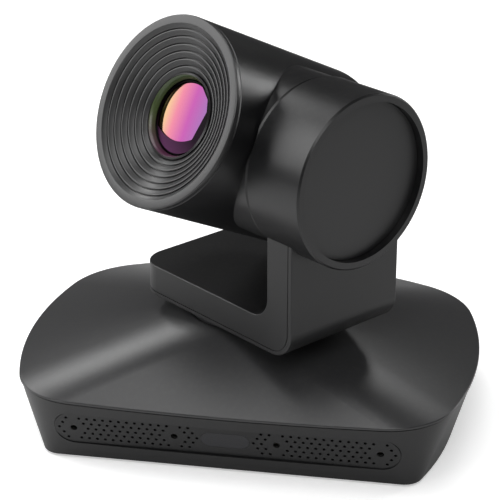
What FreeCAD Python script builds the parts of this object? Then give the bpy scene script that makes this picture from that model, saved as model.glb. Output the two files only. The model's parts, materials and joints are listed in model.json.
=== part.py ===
"""Pan-tilt-zoom conference camera with a microphone base, as a FreeCAD document.

Frame: millimetres, +Z up, the camera's front towards -Y. The origin is the mouth of the tripod
socket in the underside of the base, which lies on the pan axis. The yoke stands on the pan axis,
turned by pan_rest, and the head hangs on the tilt axis, tilted up by tilt_rest.
"""

import FreeCAD, Part
import math
import os
import re

import Sketcher
from FreeCAD import Placement, Rotation, Vector

doc = FreeCAD.newDocument("ptz_camera")
sheet = doc.addObject("Spreadsheet::Sheet", "Dims")
sheet.Label = "driving dimensions"

# ---------------------------------------------------------------------------------------------
# Driving dimensions: name, value in millimetres or degrees or a count, meaning. A value that
# begins with = follows other dimensions, because its piece fits against theirs.
# ---------------------------------------------------------------------------------------------

DIMENSIONS = [
    # rest pose
    ("pan_rest", -38.6, "pan angle of the stored pose, degrees about +Z"),
    ("tilt_rest", 26.1, "tilt of the stored pose, degrees above the horizon"),
    # base outline at the cover's edge: arcs that meet smoothly
    ("half_width", 109, "half the base's width"),
    ("base_front", 65.4, "pan axis to the front edge"),
    ("base_back", 108.9, "pan axis to the back edge"),
    ("front_bow", 968, "radius of the bowed front"),
    ("side_bow", 183.8, "radius of the bowed sides"),
    ("back_bow", 188, "radius of the bowed back"),
    ("front_corner", 33.8, "radius of the front corners"),
    ("rear_corner", 44.4, "radius of the rear corners"),
    ("widest_back", 14.5, "pan axis to the widest place, backwards"),
    ("side_taper", 9.7, "how far the sides and back draw in at the foot"),
    ("front_taper", 12.6, "how far the front draws in at the foot"),
    # base heights
    ("edge_height", 33.3, "underside of the base to the cover's edge"),
    ("lip_height", 1.1, "height of the cover's upright lip"),
    ("seam_gap", 0.7, "shadow gap between the cover and the housing"),
    ("seam_inset", 0.6, "how far the housing stands back from the lip"),
    ("cover_rise", 24.6, "cover's edge to its crown"),
    ("crown_radius", 27.9, "radius of the cover's crown"),
    ("crown_rim", 0.8, "width of the flat rim round the crown opening"),
    ("foot_corner", 9, "radius of the front corners at the foot"),
    ("foot_bow", 38720, "radius of the front at the foot, where it looks straight"),
    ("tongue_depth", 1.5, "how far the cover's inner tongue reaches into the housing"),
    ("tongue_gauge", 1.4, "thickness of the cover's inner tongue"),
    ("housing_wall", 2.4, "wall of the lower housing"),
    ("cover_wall", 2.6, "wall of the top cover"),
    ("plate_gauge", 2.0, "thickness of the bottom plate"),
    ("seat_gap", 0.2, "clearance round seated plates"),
    ("boss_radius", 3.6, "screw bosses inside the cover"),
    ("screw_x", 60, "base screws, sideways"),
    ("screw_front", 37, "base screws, forwards"),
    ("screw_back", 74, "base screws, backwards"),
    ("screw_shank", 1.5, "radius of the base screws"),
    ("screw_head", 2.8, "radius of the base screws' heads"),
    ("screw_length", 10, "length of the base screws' shanks"),
    ("screw_sunk", 1.2, "how deep the base screws' heads sit in the bottom plate"),
    ("vent_pitch", 9, "pitch of the vent slots in the bottom plate"),
    ("vent_reach", 9, "half the straight length of a vent slot"),
    ("vent_radius", 1.2, "half the width of a vent slot"),
    ("vent_y", 30, "vent slots' middle, behind the pan axis"),
    ("foot_radius", 7, "rubber feet"),
    ("foot_height", 1.5, "how far the feet stand below the base"),
    ("foot_x", 76, "feet, sideways"),
    ("foot_front", 27, "front feet, forwards"),
    ("foot_back", 60, "rear feet, backwards"),
    ("insert_outer", 7, "tripod insert, outside radius"),
    ("insert_height", 9, "tripod insert, height"),
    ("thread_radius", 2.65, "tripod thread, wall radius of a quarter-inch socket"),
    ("thread_depth", 8, "tripod thread, depth"),
    # microphone strip
    ("strip_reach", 70.2, "centre of the strip's round ends from the middle"),
    ("strip_radius", 9.4, "radius of the strip's round ends"),
    ("strip_height", 17.4, "height of the strip's centre line"),
    ("strip_face", 57.6, "pan axis to the strip's face at its centre line"),
    ("strip_lean", 17, "lean of the strip, degrees from upright"),
    ("strip_gauge", 1.6, "thickness of the strip"),
    ("sound_pitch", 3.71, "pitch of the small sound holes along the strip"),
    ("row_pitch", 3.07, "pitch of the rows of sound holes"),
    ("sound_radius", 0.72, "small sound holes"),
    ("port_inner", 23.45, "inner microphone ports from the middle"),
    ("port_radius", 1.6, "microphone ports"),
    ("pill_reach", 6.8, "centre of the window's round ends from the middle"),
    ("pill_radius", 4.4, "radius of the window's round ends"),
    ("capsule_radius", 2.0, "microphone capsules"),
    ("capsule_height", 1.7, "microphone capsules"),
    # boards and sockets
    ("board_gauge", 1.6, "thickness of the circuit boards"),
    ("mic_board_gauge", 1.2, "thickness of the microphone board"),
    ("board_height", 7, "main board above the bottom plate's face"),
    ("board_x", 72, "half the main board's width"),
    ("board_front", 12, "pan axis to the main board's front edge"),
    ("peg_radius", 1.5, "necks of the board's snap-in standoffs"),
    ("board_depth", 57, "main board, front to back"),
    ("panel_y", 83.5, "pan axis to the connector panel's outer face"),
    ("panel_half", 46, "half the connector recess's width"),
    ("panel_low", 6.5, "bottom of the connector recess"),
    ("panel_high", 26.5, "top of the connector recess"),
    ("panel_gauge", 1.6, "thickness of the connector panel"),
    ("recess_wall", 2.0, "walls of the connector recess"),
    # pan stage
    ("pan_gap", 3.0, "cover's crown to the yoke's underside"),
    ("disc_gap", 0.7, "gap round the pan disc in the crown opening"),
    ("disc_sunk", 5, "crown to the pan disc's underside"),
    ("hub_tail", 3, "how far the pan hub runs below its chassis"),
    ("hub_screw_bite", 8, "how far the hub screws go into the yoke"),
    ("chassis_height", 30, "underside of the pan chassis"),
    ("chassis_gauge", 2.0, "pan chassis plate"),
    ("chassis_x", 34, "half the chassis's width"),
    ("chassis_front", 30, "pan axis to the chassis's front edge"),
    ("chassis_back", 56, "pan axis to the chassis's back edge"),
    ("pillar_radius", 3.0, "chassis pillars"),
    ("pan_bearing_bore", 12.5, "pan bearing, bore radius"),
    ("pan_bearing_outer", 18.5, "pan bearing, outside radius"),
    ("pan_bearing_width", 7, "pan bearing, width"),
    ("bearing_race", 1.9, "radial thickness of each bearing ring"),
    ("ball_count", 14, "pan bearing balls"),
    ("circlip_gauge", 1.2, "thickness of the circlips"),
    ("cable_bore", 8, "cable hole through the pan hub"),
    ("pan_module", 0.8, "module of the pan gears"),
    ("pan_teeth", 72, "teeth of the pan gear"),
    ("pan_pinion_teeth", 18, "teeth of the pan pinion"),
    ("gear_width", 5, "face width of the gears"),
    ("gear_backlash", 0.22, "thinning of each tooth at the pitch circle"),
    ("pan_motor_radius", 17.5, "pan motor can"),
    ("pan_motor_length", 15, "pan motor can"),
    ("ear_reach", 4, "how far the pan motor's ears stand out, and half their width"),
    ("ear_gauge", 1, "thickness of the pan motor's ears"),
    ("motor_shaft", 2.5, "radius of the pan motor's shaft"),
    ("tilt_motor_shaft", 1.5, "radius of the tilt motor's shaft"),
    ("running_gap", 0.05, "radial clearance of running fits"),
    # barrel and drum stand side by side, with the arm under the drum
    ("barrel_radius", 43, "barrel of the head"),
    ("drum_clear", 1.0, "barrel to the drum's inner face"),
    ("drum_inner", "=barrel_radius + drum_clear", "pan axis to the drum's inner face"),
    ("drum_length", 31.7, "length of the drum"),
    ("drum_outer", "=drum_inner + drum_length", "pan axis to the drum's outer face"),
    ("arm_setback", 2.1, "drum's inner face to the arm's inner face"),
    ("arm_width", 15.6, "width of the arm"),
    ("arm_inner", "=drum_inner + arm_setback", "pan axis to the arm's inner face"),
    ("arm_outer", "=arm_inner + arm_width", "pan axis to the arm's outer face"),
    # yoke
    ("yoke_left", 45.3, "pan axis to the plate's free end"),
    ("yoke_front", 29.2, "pan axis to the yoke's front face"),
    ("yoke_back", 36, "pan axis to the yoke's back face"),
    ("yoke_plate", 15.3, "thickness of the yoke's plate"),
    ("tilt_above_plate", 65.7, "yoke plate to the tilt axis"),
    ("plate_corner", 13.5, "plan corners of the plate"),
    ("arm_foot_round", 12.6, "round under the arm"),
    ("arm_fillet", 10, "fillet between the plate and the arm"),
    ("skin", 2.2, "thickness of the yoke's outer cover"),
    ("yoke_wall", 2.6, "walls of the yoke frame"),
    ("hub_boss", 22, "radius of the frame's boss on the hub"),
    ("hub_screw_circle", 18.6, "radius of the circle of hub screws"),
    ("small_shank", 1.4, "radius of the inner screws"),
    ("small_head", 2.4, "radius of the inner screws' heads"),
    ("small_head_height", 1.6, "height of the inner screws' heads"),
    ("screw_gap", 0.05, "radial clearance of the screws in their holes"),
    ("saddle_screw_reach", 13, "saddle screws from the tilt axis, forwards and backwards"),
    ("arm_head", 16, "solid top of the arm under the drum"),
    ("arm_bore", 5, "cable hole up the arm and into the drum"),
    ("edge_round", 0.5, "round on the yoke's and the cover's visible edges"),
    ("groove", 0.4, "width and depth of the seam groove between frame and cover"),
    # tilt drum
    ("drum_radius", 39, "tilt drum"),
    ("drum_wall", 2.6, "wall of the drum"),
    ("drum_lip", 3.6, "width of the drum's rim round its end cap"),
    ("drum_rim", "=drum_radius - drum_lip", "radius of the recess in the drum's face"),
    ("cap_recess", 3.5, "depth of the end cap in the drum"),
    ("cap_gauge", 2.4, "thickness of the end cap"),
    ("edge_chamfer", 0.8, "chamfer on the drum's and barrel's edges"),
    ("saddle_gap", 0.1, "gap between the arm and the drum"),
    # tilt shaft and drive
    ("tilt_shaft_radius", 10, "tilt shaft"),
    ("tilt_shaft_bore", 7, "cable hole through the tilt shaft"),
    ("flange_gauge", 2.4, "thickness of the tilt shaft's flange"),
    ("flange_reach", 8, "how far the flange stands out from the shaft"),
    ("tilt_bearing_outer", 14.2, "tilt bearing, outside radius"),
    ("tilt_bearing_width", 4, "tilt bearing, width"),
    ("tilt_race", 1.5, "radial thickness of the tilt bearing's rings"),
    ("tilt_module", 0.7, "module of the tilt gears"),
    ("tilt_teeth", 48, "teeth of the tilt gear"),
    ("tilt_pinion_teeth", 17, "teeth of the tilt pinion"),
    ("tilt_gear_width", 3.5, "face width of the tilt gears"),
    ("tilt_side_gap", 1.2, "gap on each side of the tilt gears"),
    ("tilt_plate_gauge", 1.6, "thickness of the tilt chassis"),
    ("tilt_motor_radius", 11, "tilt motor can"),
    ("tilt_motor_length", 8.5, "tilt motor can"),
    # head
    ("barrel_front", 53.4, "tilt axis to the barrel's front plane"),
    ("barrel_back", 51, "tilt axis to the barrel's back plane"),
    ("barrel_wall", 2.5, "wall of the barrel"),
    ("back_round", 11, "round on the barrel's back edge"),
    ("neck_step", 0.6, "how far the neck stands back from the drum's surface"),
    ("neck_radius", "=drum_radius - neck_step", "neck on the barrel's side"),
    ("neck_gap", 0.9, "gap between the neck and the drum"),
    ("hood_gap", 0.3, "groove between the hood and the barrel"),
    ("barrel_lip", 1.5, "wall of the barrel round the hood's spigot"),
    ("hood_radius", "=barrel_radius - barrel_lip - hood_gap", "outside of the hood's spigot"),
    ("hood_ring", 2.4, "height of the hood's full-width ring"),
    ("ring_chamfer", 0.4, "chamfer on the hood's ring"),
    ("shell_front", "=barrel_front - hood_ring - hood_gap", "tilt axis to the shell's edge"),
    ("hood_rim", 3.9, "width of the hood's flat rim"),
    ("hood_inner", "=barrel_radius - hood_rim", "inside of the hood's flat rim"),
    ("hood_depth", 9.7, "depth of the stepped funnel"),
    ("hood_steps", 7, "steps in the funnel"),
    ("hood_land", 0.55, "width of the flat land between two steps"),
    ("hood_slot", 0.5, "width of the slot at the foot of each step"),
    ("slot_depth", 0.9, "depth of that slot below its land"),
    ("hood_gauge", 2.0, "thickness of the hood"),
    ("hood_seat", 6.4, "hood's front plane to the foot of its spigot"),
    ("lens_opening", 19.5, "radius of the hood's opening"),
    ("ring_inner", 17.2, "inside of the lens retaining ring"),
    ("glass_radius", 17.9, "front lens"),
    ("glass_edge", 3.4, "front lens, thickness at its edge"),
    ("glass_dome", 4.6, "front lens, height of its dome"),
    ("tube_outer", 25.4, "lens tube, outside radius"),
    ("tube_inner", 23.4, "lens tube, inside radius"),
    ("tube_back", 38, "tilt axis to the back of the lens tube"),
    ("rod_radius", 1.5, "guide rods"),
    ("rod_place", 20.6, "guide rods from the optical axis"),
    ("group_radius", 18, "moving lens carriers"),
    ("zoom_place", 15, "zoom group ahead of the tilt axis"),
    ("focus_place", -20, "focus group ahead of the tilt axis"),
    ("group_width", 9, "length of the moving lens carriers"),
    ("group_glass", 13, "radius of the moving lenses"),
    ("sensor_board", 40, "side of the sensor board"),
]

for row, (alias, number, meaning) in enumerate(DIMENSIONS, start=1):
    sheet.set(f"A{row}", alias)
    sheet.set(f"B{row}", str(number))
    sheet.set(f"C{row}", meaning)
    sheet.setAlias(f"B{row}", alias)
doc.recompute()

ALIASES = {alias for alias, _, _ in DIMENSIONS}


class Size:
    """Reads a driving dimension as a plain number, for work in this script."""

    def __getattr__(self, alias):
        return float(sheet.get(alias))


size = Size()
nodes = {}


def bound(formula):
    """A formula in the sheet's names, written so that any object of the document can read it."""
    return re.sub(r"[a-z_]+[a-z_0-9]*", lambda m: f"Dims.{m[0]}" if m[0] in ALIASES else m[0], formula)


def value(formula):
    """The number that a formula in the sheet's names gives now."""
    result = sheet.evalExpression(bound(str(formula)))
    return float(getattr(result, "Value", result))


# ---------------------------------------------------------------------------------------------
# Frames: where a piece's own axes lie in the whole camera
# ---------------------------------------------------------------------------------------------

crown_height = size.edge_height + size.cover_rise
yoke_bottom = crown_height + size.pan_gap
plate_top = yoke_bottom + size.yoke_plate
tilt_height = plate_top + size.tilt_above_plate

CLEAR = 20.0  # how far a cutting tool runs past what it cuts

X_AXIS = Vector(1, 0, 0)
Z_AXIS = Vector(0, 0, 1)
base_frame = Placement()
yoke_frame = Placement(Vector(), Rotation(Z_AXIS, size.pan_rest))
tilt_frame = yoke_frame.multiply(Placement(Vector(0, 0, tilt_height), Rotation()))
head_frame = tilt_frame.multiply(Placement(Vector(), Rotation(X_AXIS, -size.tilt_rest)))
# a lathe-turned piece has its axis along its own Z
along_x = Placement(Vector(), Rotation(Vector(0, 1, 0), 90))
forwards = Placement(Vector(), Rotation(X_AXIS, 90))
upside_down = Placement(Vector(), Rotation(X_AXIS, 180))
drum_axis = tilt_frame.multiply(along_x)
shaft_axis = head_frame.multiply(along_x)
lens_axis = head_frame.multiply(forwards)
# the microphone strip: X along it, Y up its slope, Z outwards
strip_frame = Placement(
    Vector(0, -size.strip_face, size.strip_height),
    Rotation(X_AXIS, 90 + size.strip_lean),
)


def lift(height):
    return Placement(Vector(0, 0, height), Rotation())


def shift(x, y, z=0.0):
    return Placement(Vector(x, y, z), Rotation())


# ---------------------------------------------------------------------------------------------
# Ways to make a piece
# ---------------------------------------------------------------------------------------------


def keep(label, thing, frame=None):
    """Names a finished piece and puts it in its place."""
    thing.Label = label
    if frame is not None:
        thing.Placement = frame
    nodes[label] = thing
    return thing


def origin_plane(body, role):
    return next(plane for plane in body.Origin.OriginFeatures if plane.Role == role)


def profile(body, role, points, circles=()):
    """A closed sketch of straight lines, and circles, each place bound to the sheet."""
    sketch = body.newObject("Sketcher::SketchObject", body.Name + "_sketch")
    sketch.AttachmentSupport = [(origin_plane(body, role), "")]
    sketch.MapMode = "FlatFace"
    corners = [Vector(value(u), value(v), 0) for u, v in points]
    count = len(corners)
    for i in range(count):
        sketch.addGeometry(Part.LineSegment(corners[i], corners[(i + 1) % count]), False)
    for i in range(count):
        sketch.addConstraint(Sketcher.Constraint("Coincident", i, 2, (i + 1) % count, 1))
    for i, (u, v) in enumerate(points):
        pin_point(sketch, i, 1, u, v)
    for u, v, radius in circles:
        index = sketch.addGeometry(
            Part.Circle(Vector(value(u), value(v), 0), Z_AXIS, value(radius)), False
        )
        pin_point(sketch, index, 3, u, v)
        datum = sketch.addConstraint(Sketcher.Constraint("Radius", index, value(radius)))
        sketch.setExpression(f"Constraints[{datum}]", bound(str(radius)))
    return sketch


def pin_point(sketch, geometry, point, u, v):
    """Binds a point's two coordinates; a coordinate of nought lies on the axis."""
    for kind, formula, axis in (("DistanceX", u, -2), ("DistanceY", v, -1)):
        if abs(value(formula)) < 1e-9:
            sketch.addConstraint(Sketcher.Constraint("PointOnObject", geometry, point, axis))
            continue
        datum = sketch.addConstraint(
            Sketcher.Constraint(kind, -1, 1, geometry, point, value(formula))
        )
        sketch.setExpression(f"Constraints[{datum}]", bound(str(formula)))


def lathe(label, points, frame=None):
    """A turned piece: points are (radius, height along its own Z)."""
    body = doc.addObject("PartDesign::Body", label)
    sketch = profile(body, "XZ_Plane", points)
    turned = body.newObject("PartDesign::Revolution", label + "_turned")
    turned.Profile = sketch
    turned.ReferenceAxis = (sketch, ["V_Axis"])
    turned.Angle = 360
    if frame is not None:
        keep(label, body, frame)
    return body


def ring(label, inner, outer, low, high, frame=None):
    """A turned ring with a rectangular section."""
    points = [(inner, low), (outer, low), (outer, high), (inner, high)]
    return lathe(label, points, frame)


def padded(label, points, height, frame=None, circles=(), role="XY_Plane"):
    """A flat piece, as thick as height, with round holes through it."""
    body = doc.addObject("PartDesign::Body", label)
    sketch = profile(body, role, points, circles)
    pad = body.newObject("PartDesign::Pad", label + "_pad")
    pad.Profile = sketch
    pad.Length = value(height)
    pad.setExpression("Length", bound(str(height)))
    if frame is not None:
        keep(label, body, frame)
    return body


def rectangle(x0, x1, y0, y1):
    return [(x0, y0), (x1, y0), (x1, y1), (x0, y1)]


def disc(name, radius, height, frame):
    """A cylinder along its frame's Z."""
    thing = doc.addObject("Part::Cylinder", name)
    thing.setExpression("Radius", bound(str(radius)))
    thing.setExpression("Height", bound(str(height)))
    thing.Placement = frame
    return thing


def block(name, length, width, height, frame):
    """A box with one corner at its frame's origin."""
    thing = doc.addObject("Part::Box", name)
    thing.setExpression("Length", bound(str(length)))
    thing.setExpression("Width", bound(str(width)))
    thing.setExpression("Height", bound(str(height)))
    thing.Placement = frame
    return thing


def cut(name, body, *tools):
    """The body less each tool in turn."""
    for i, tool in enumerate(tools):
        less = doc.addObject("Part::Cut", f"{name}_cut_{i}")
        less.Base = body
        less.Tool = tool
        body = less
    return body


def fused(name, *shapes):
    union = doc.addObject("Part::MultiFuse", name + "_union")
    union.Shapes = list(shapes)
    return union


def group(name, things):
    """Separate solids that share one node."""
    together = doc.addObject("Part::Compound", name + "_group")
    together.Links = list(things)
    return together


def shaped(name, shape):
    """A feature whose shape was worked out in this script."""
    feature = doc.addObject("Part::Feature", name)
    feature.Shape = shape
    return feature


def common(name, first, second):
    both = doc.addObject("Part::Common", name + "_common")
    both.Base = first
    both.Tool = second
    return both


def round_edges(body, radius, test):
    """Rounds the edges of a PartDesign body that pass a test of their end points."""
    doc.recompute()
    tip = body.Tip
    names = []
    for number, edge in enumerate(tip.Shape.Edges, start=1):
        ends = [vertex.Point for vertex in edge.Vertexes]
        if len(ends) == 2 and test(ends[0], ends[1]):
            names.append(f"Edge{number}")
    fillet = body.newObject("PartDesign::Fillet", body.Name + "_round")
    fillet.Base = (tip, names)
    fillet.setExpression("Radius", bound(radius))
    return body


def near(a, b):
    return abs(a - b) < 1e-4


def screws(name, places, shank, length, head, head_height, frame):
    """Pan-head screws: each place is where the head's underside sits, the shank along -Z."""
    singles = []
    for i, place in enumerate(places):
        rod = disc(f"{name}_shank_{i}", shank, length, place.multiply(lift(-value(length))))
        cap = disc(f"{name}_head_{i}", head, head_height, place)
        singles.append(fused(f"{name}_{i}", rod, cap))
    return keep(name, group(name, singles), frame)


# ---------------------------------------------------------------------------------------------
# Base outline: five arcs a side, each tangent to the next
# ---------------------------------------------------------------------------------------------


class Outline:
    """Half of the base's plan as centres, radii and the directions where the arcs meet."""

    def __init__(self, front, back, half, front_bow, side_bow, back_bow, corner, rear):
        self.front_radius = front_bow
        self.side_radius = side_bow
        self.back_radius = back_bow
        self.corner_radius = corner
        self.rear_radius = rear
        self.front_centre = Vector(0, -front + front_bow, 0)
        self.side_centre = Vector(half - side_bow, size.widest_back, 0)
        self.back_centre = Vector(0, back - back_bow, 0)
        self.corner_centre = self.between(self.front_centre, front_bow - corner, side_bow - corner, -1)
        self.rear_centre = self.between(self.back_centre, back_bow - rear, side_bow - rear, 1)

    def between(self, end_centre, end_reach, side_reach, side):
        """The centre of the arc that touches an end arc and the side arc from inside."""
        gap = self.side_centre - end_centre
        along = (end_reach**2 - side_reach**2 + gap.Length**2) / (2 * gap.Length)
        across = math.sqrt(max(end_reach**2 - along**2, 0.0))
        unit = gap / gap.Length
        foot = end_centre + unit * along
        turn = Vector(-unit.y, unit.x, 0) * across
        return max((foot + turn, foot - turn), key=lambda point: point.x + side * point.y)

    def arcs(self):
        """Centre, radius, first and last direction of the right-hand arcs, front to back."""
        front_turn = self.direction(self.front_centre, self.corner_centre)
        side_low = self.direction(self.side_centre, self.corner_centre)
        side_high = self.direction(self.side_centre, self.rear_centre)
        back_turn = self.direction(self.back_centre, self.rear_centre)
        return [
            (self.front_centre, self.front_radius, -math.pi / 2, front_turn),
            (self.corner_centre, self.corner_radius, front_turn, side_low),
            (self.side_centre, self.side_radius, side_low, side_high),
            (self.rear_centre, self.rear_radius, side_high, back_turn),
            (self.back_centre, self.back_radius, back_turn, math.pi / 2),
        ]

    @staticmethod
    def direction(outer, inner):
        gap = inner - outer
        return math.atan2(gap.y, gap.x)


def arc_edge(centre, radius, start, end, height):
    """An arc in a level plane, from one direction to another."""
    points = [
        centre + Vector(radius * math.cos(turn), radius * math.sin(turn), height)
        for turn in (start, (start + end) / 2, end)
    ]
    return Part.Arc(*points).toShape()


def mirrored_edges(edges):
    """The right-hand edges followed by their mirror images, as one closed run."""
    mirror = FreeCAD.Matrix()
    mirror.scale(-1, 1, 1)
    return edges + [edge.transformGeometry(mirror) for edge in reversed(edges)]


def edge_outline(inset):
    """The plan at the cover's edge, drawn in by an inset."""
    return Outline(
        size.base_front - inset,
        size.base_back - inset,
        size.half_width - inset,
        size.front_bow - inset,
        size.side_bow - inset,
        size.back_bow - inset,
        size.front_corner - inset,
        size.rear_corner - inset,
    )


def foot_outline(inset):
    """The plan at the underside: the sides drawn in by the taper, the front straight."""
    drawn = size.side_taper + inset
    return Outline(
        size.base_front - size.front_taper - inset,
        size.base_back - drawn,
        size.half_width - drawn,
        size.foot_bow,
        size.side_bow - drawn,
        size.back_bow - drawn,
        size.foot_corner - inset,
        size.rear_corner - drawn,
    )


def wire_edges(outline, height):
    return mirrored_edges([arc_edge(*arc, height) for arc in outline.arcs()])


def crown_edges(outline, radius, height):
    """A circle cut into arcs that face the same ways as the outline's arcs."""
    arcs = [(Vector(), radius, start, end) for _, _, start, end in outline.arcs()]
    return mirrored_edges([arc_edge(*arc, height) for arc in arcs])


def ruled_solid(lower, upper):
    """A solid whose sides are straight lines between two matched closed runs of edges."""
    faces = [Part.Face(Part.Wire(lower)), Part.Face(Part.Wire(upper))]
    for low, high in zip(lower, upper):
        faces.append(Part.makeRuledSurface(low, high))
    shell = Part.makeShell(faces)
    shell.sewShape()
    solid = Part.makeSolid(Part.Shell(shell.Faces))
    if solid.Volume < 0:
        solid.reverse()
    return solid


def upright_solid(outline, low, high):
    return ruled_solid(wire_edges(outline, low), wire_edges(outline, high))


# ---------------------------------------------------------------------------------------------
# Base: shells
# ---------------------------------------------------------------------------------------------

housing_top = size.edge_height - size.lip_height - size.seam_gap
lip_bottom = size.edge_height - size.lip_height


def housing_outer(inset, low=0.0, high=housing_top):
    """The tapered body of the lower housing, drawn in by an inset, between two heights."""
    edge = edge_outline(size.seam_inset + inset)
    foot = foot_outline(inset)
    whole = ruled_solid(wire_edges(foot, 0.0), wire_edges(edge, housing_top))
    reach = 4 * size.half_width
    slab = Part.makeBox(reach, reach, high - low, Vector(-reach / 2, -reach / 2, low))
    return whole.common(slab)


def stadium(reach, radius, low, high):
    """A bar with round ends along X, between two heights."""
    bar = Part.makeBox(2 * reach, 2 * radius, high - low, Vector(-reach, -radius, low))
    for side in (-reach, reach):
        bar = bar.fuse(Part.makeCylinder(radius, high - low, Vector(side, 0, low)))
    return bar.removeSplitter()


screw_spots = [
    (side * size.screw_x, y) for side in (-1, 1) for y in (-size.screw_front, size.screw_back)
]


def make_housing():
    """Lower housing: tapered shell, strip seat in front, connector recess behind."""
    outer = housing_outer(0.0)
    inner = housing_outer(size.housing_wall)
    shell = outer.cut(inner)
    # a ledge behind the strip, opened by a smaller bar, so the strip has something to sit on
    depth = size.strip_gauge + size.housing_wall
    ledge = stadium(size.strip_reach, size.strip_radius + size.housing_wall, -depth, depth)
    ledge.Placement = strip_frame
    shell = shell.fuse(outer.common(ledge))
    seat = stadium(size.strip_reach, size.strip_radius, -size.strip_gauge, CLEAR)
    seat.Placement = strip_frame
    through = stadium(size.strip_reach, size.strip_radius - size.housing_wall, -3 * depth, CLEAR)
    through.Placement = strip_frame
    shell = shell.cut(seat).cut(through)
    # the connector recess: a short square tunnel in from the back wall
    wall = size.recess_wall
    reach = size.base_back
    low, high = size.panel_low, size.panel_high
    front = size.panel_y - size.panel_gauge - wall
    tunnel = Part.makeBox(
        2 * (size.panel_half + wall),
        reach,
        high - low + 2 * wall,
        Vector(-size.panel_half - wall, front, low - wall),
    )
    hole = Part.makeBox(
        2 * size.panel_half,
        reach,
        high - low,
        Vector(-size.panel_half, size.panel_y - size.panel_gauge, low),
    )
    window = Part.makeBox(
        2 * (size.panel_half - wall),
        reach,
        high - low - 2 * wall,
        Vector(-size.panel_half + wall, front - 1, low + wall),
    )
    shell = shell.fuse(outer.common(tunnel)).cut(hole).cut(window)
    return shell.removeSplitter()


keep("base_housing", shaped("base_housing", make_housing()), base_frame)


def make_cover():
    """Top cover: a lip, then straight lines from the edge to the round crown."""
    edge = edge_outline(0.0)
    cone = ruled_solid(
        wire_edges(edge, size.edge_height),
        crown_edges(edge, size.crown_radius, crown_height),
    )
    lip = upright_solid(edge, lip_bottom, size.edge_height)
    outer = lip.fuse(cone).removeSplitter()
    rim = [edge for edge in outer.Edges if all(near(v.Z, size.edge_height) for v in edge.Vertexes)]
    outer = outer.makeFillet(size.edge_round, rim)
    wall = size.cover_wall
    inside = edge_outline(wall)
    # the roof slopes, so its inner face stays a wall away if its ends drop by a part of the wall
    bend = size.edge_height - wall * 0.55
    hollow = ruled_solid(
        wire_edges(inside, bend),
        crown_edges(inside, size.crown_radius - wall * 0.8, crown_height - wall),
    )
    below = upright_solid(inside, lip_bottom - 1, bend)
    opening = Part.makeCylinder(
        size.crown_radius - size.crown_rim, 3 * wall, Vector(0, 0, crown_height - 2 * wall)
    )
    shell = outer.cut(hollow).cut(below).cut(opening)
    # a tongue inside the housing's wall keeps light out of the seam
    tongue_low = housing_top - size.tongue_depth
    slope = max(size.side_taper, size.front_taper) / housing_top
    tongue_inset = size.seam_inset + size.housing_wall + size.seat_gap + slope * size.tongue_depth
    tongue_high = size.edge_height + 0.4
    tongue = upright_solid(edge_outline(tongue_inset), tongue_low, tongue_high).cut(
        upright_solid(edge_outline(tongue_inset + size.tongue_gauge), tongue_low - 1, tongue_high + 1)
    )
    shell = shell.fuse(tongue)
    # screw posts from the bottom plate up to the roof
    room = cone.fuse(upright_solid(inside, 0.0, size.edge_height))
    bore = size.screw_shank - size.screw_gap
    bore_depth = size.screw_length + 2 * size.cover_wall
    for x, y in screw_spots:
        foot = Vector(x, y, size.plate_gauge)
        post = Part.makeCylinder(size.boss_radius, crown_height, foot)
        shell = shell.fuse(post.common(room))
        shell = shell.cut(Part.makeCylinder(bore, bore_depth, foot))
    return shell.removeSplitter()


keep("top_cover", shaped("top_cover", make_cover()), base_frame)


def make_bottom_plate():
    """Steel plate that closes the underside, with vents and holes for screws and insert."""
    plate = housing_outer(size.housing_wall, 0.0, size.plate_gauge)
    low = -CLEAR / 2
    holes = [Part.makeCylinder(size.insert_outer, CLEAR, Vector(0, 0, low))]
    sink = size.screw_sunk - low
    for x, y in screw_spots:
        spot = Vector(x, y, low)
        holes.append(Part.makeCylinder(size.screw_shank + size.seat_gap, CLEAR, spot))
        holes.append(Part.makeCylinder(size.screw_head + size.seat_gap, sink, spot))
    quarter_turn = Placement(Vector(), Rotation(Z_AXIS, 90))
    for i in range(-4, 5):
        slot = stadium(size.vent_reach, size.vent_radius, low, CLEAR)
        slot.Placement = shift(size.vent_pitch * i, size.vent_y).multiply(quarter_turn)
        holes.append(slot)
    return plate.cut(holes).removeSplitter()


keep("bottom_plate", shaped("bottom_plate", make_bottom_plate()), base_frame)

screws(
    "base_screws",
    [shift(x, y, size.screw_sunk).multiply(upside_down) for x, y in screw_spots],
    "screw_shank - 2 * screw_gap",
    "screw_length",
    "screw_head",
    "screw_sunk - screw_gap",
    base_frame,
)

lathe(
    "tripod_insert",
    [
        (0, "thread_depth"),
        ("thread_radius", "thread_depth"),
        ("thread_radius", 0),
        ("insert_outer", 0),
        ("insert_outer", "insert_height"),
        (0, "insert_height"),
    ],
    base_frame,
)

foot_spots = [
    (side * size.foot_x, y) for side in (-1, 1) for y in (-size.foot_front, size.foot_back)
]
feet = [
    disc(f"foot_{i}", "foot_radius", "foot_height", shift(x, y, -size.foot_height))
    for i, (x, y) in enumerate(foot_spots)
]
keep("rubber_feet", group("rubber_feet", feet), base_frame)

# ---------------------------------------------------------------------------------------------
# Base: microphone strip
# ---------------------------------------------------------------------------------------------

port_spots = [
    side * (size.port_inner + far) for side in (-1, 1) for far in (0, 2 * size.port_inner)
]


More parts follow.
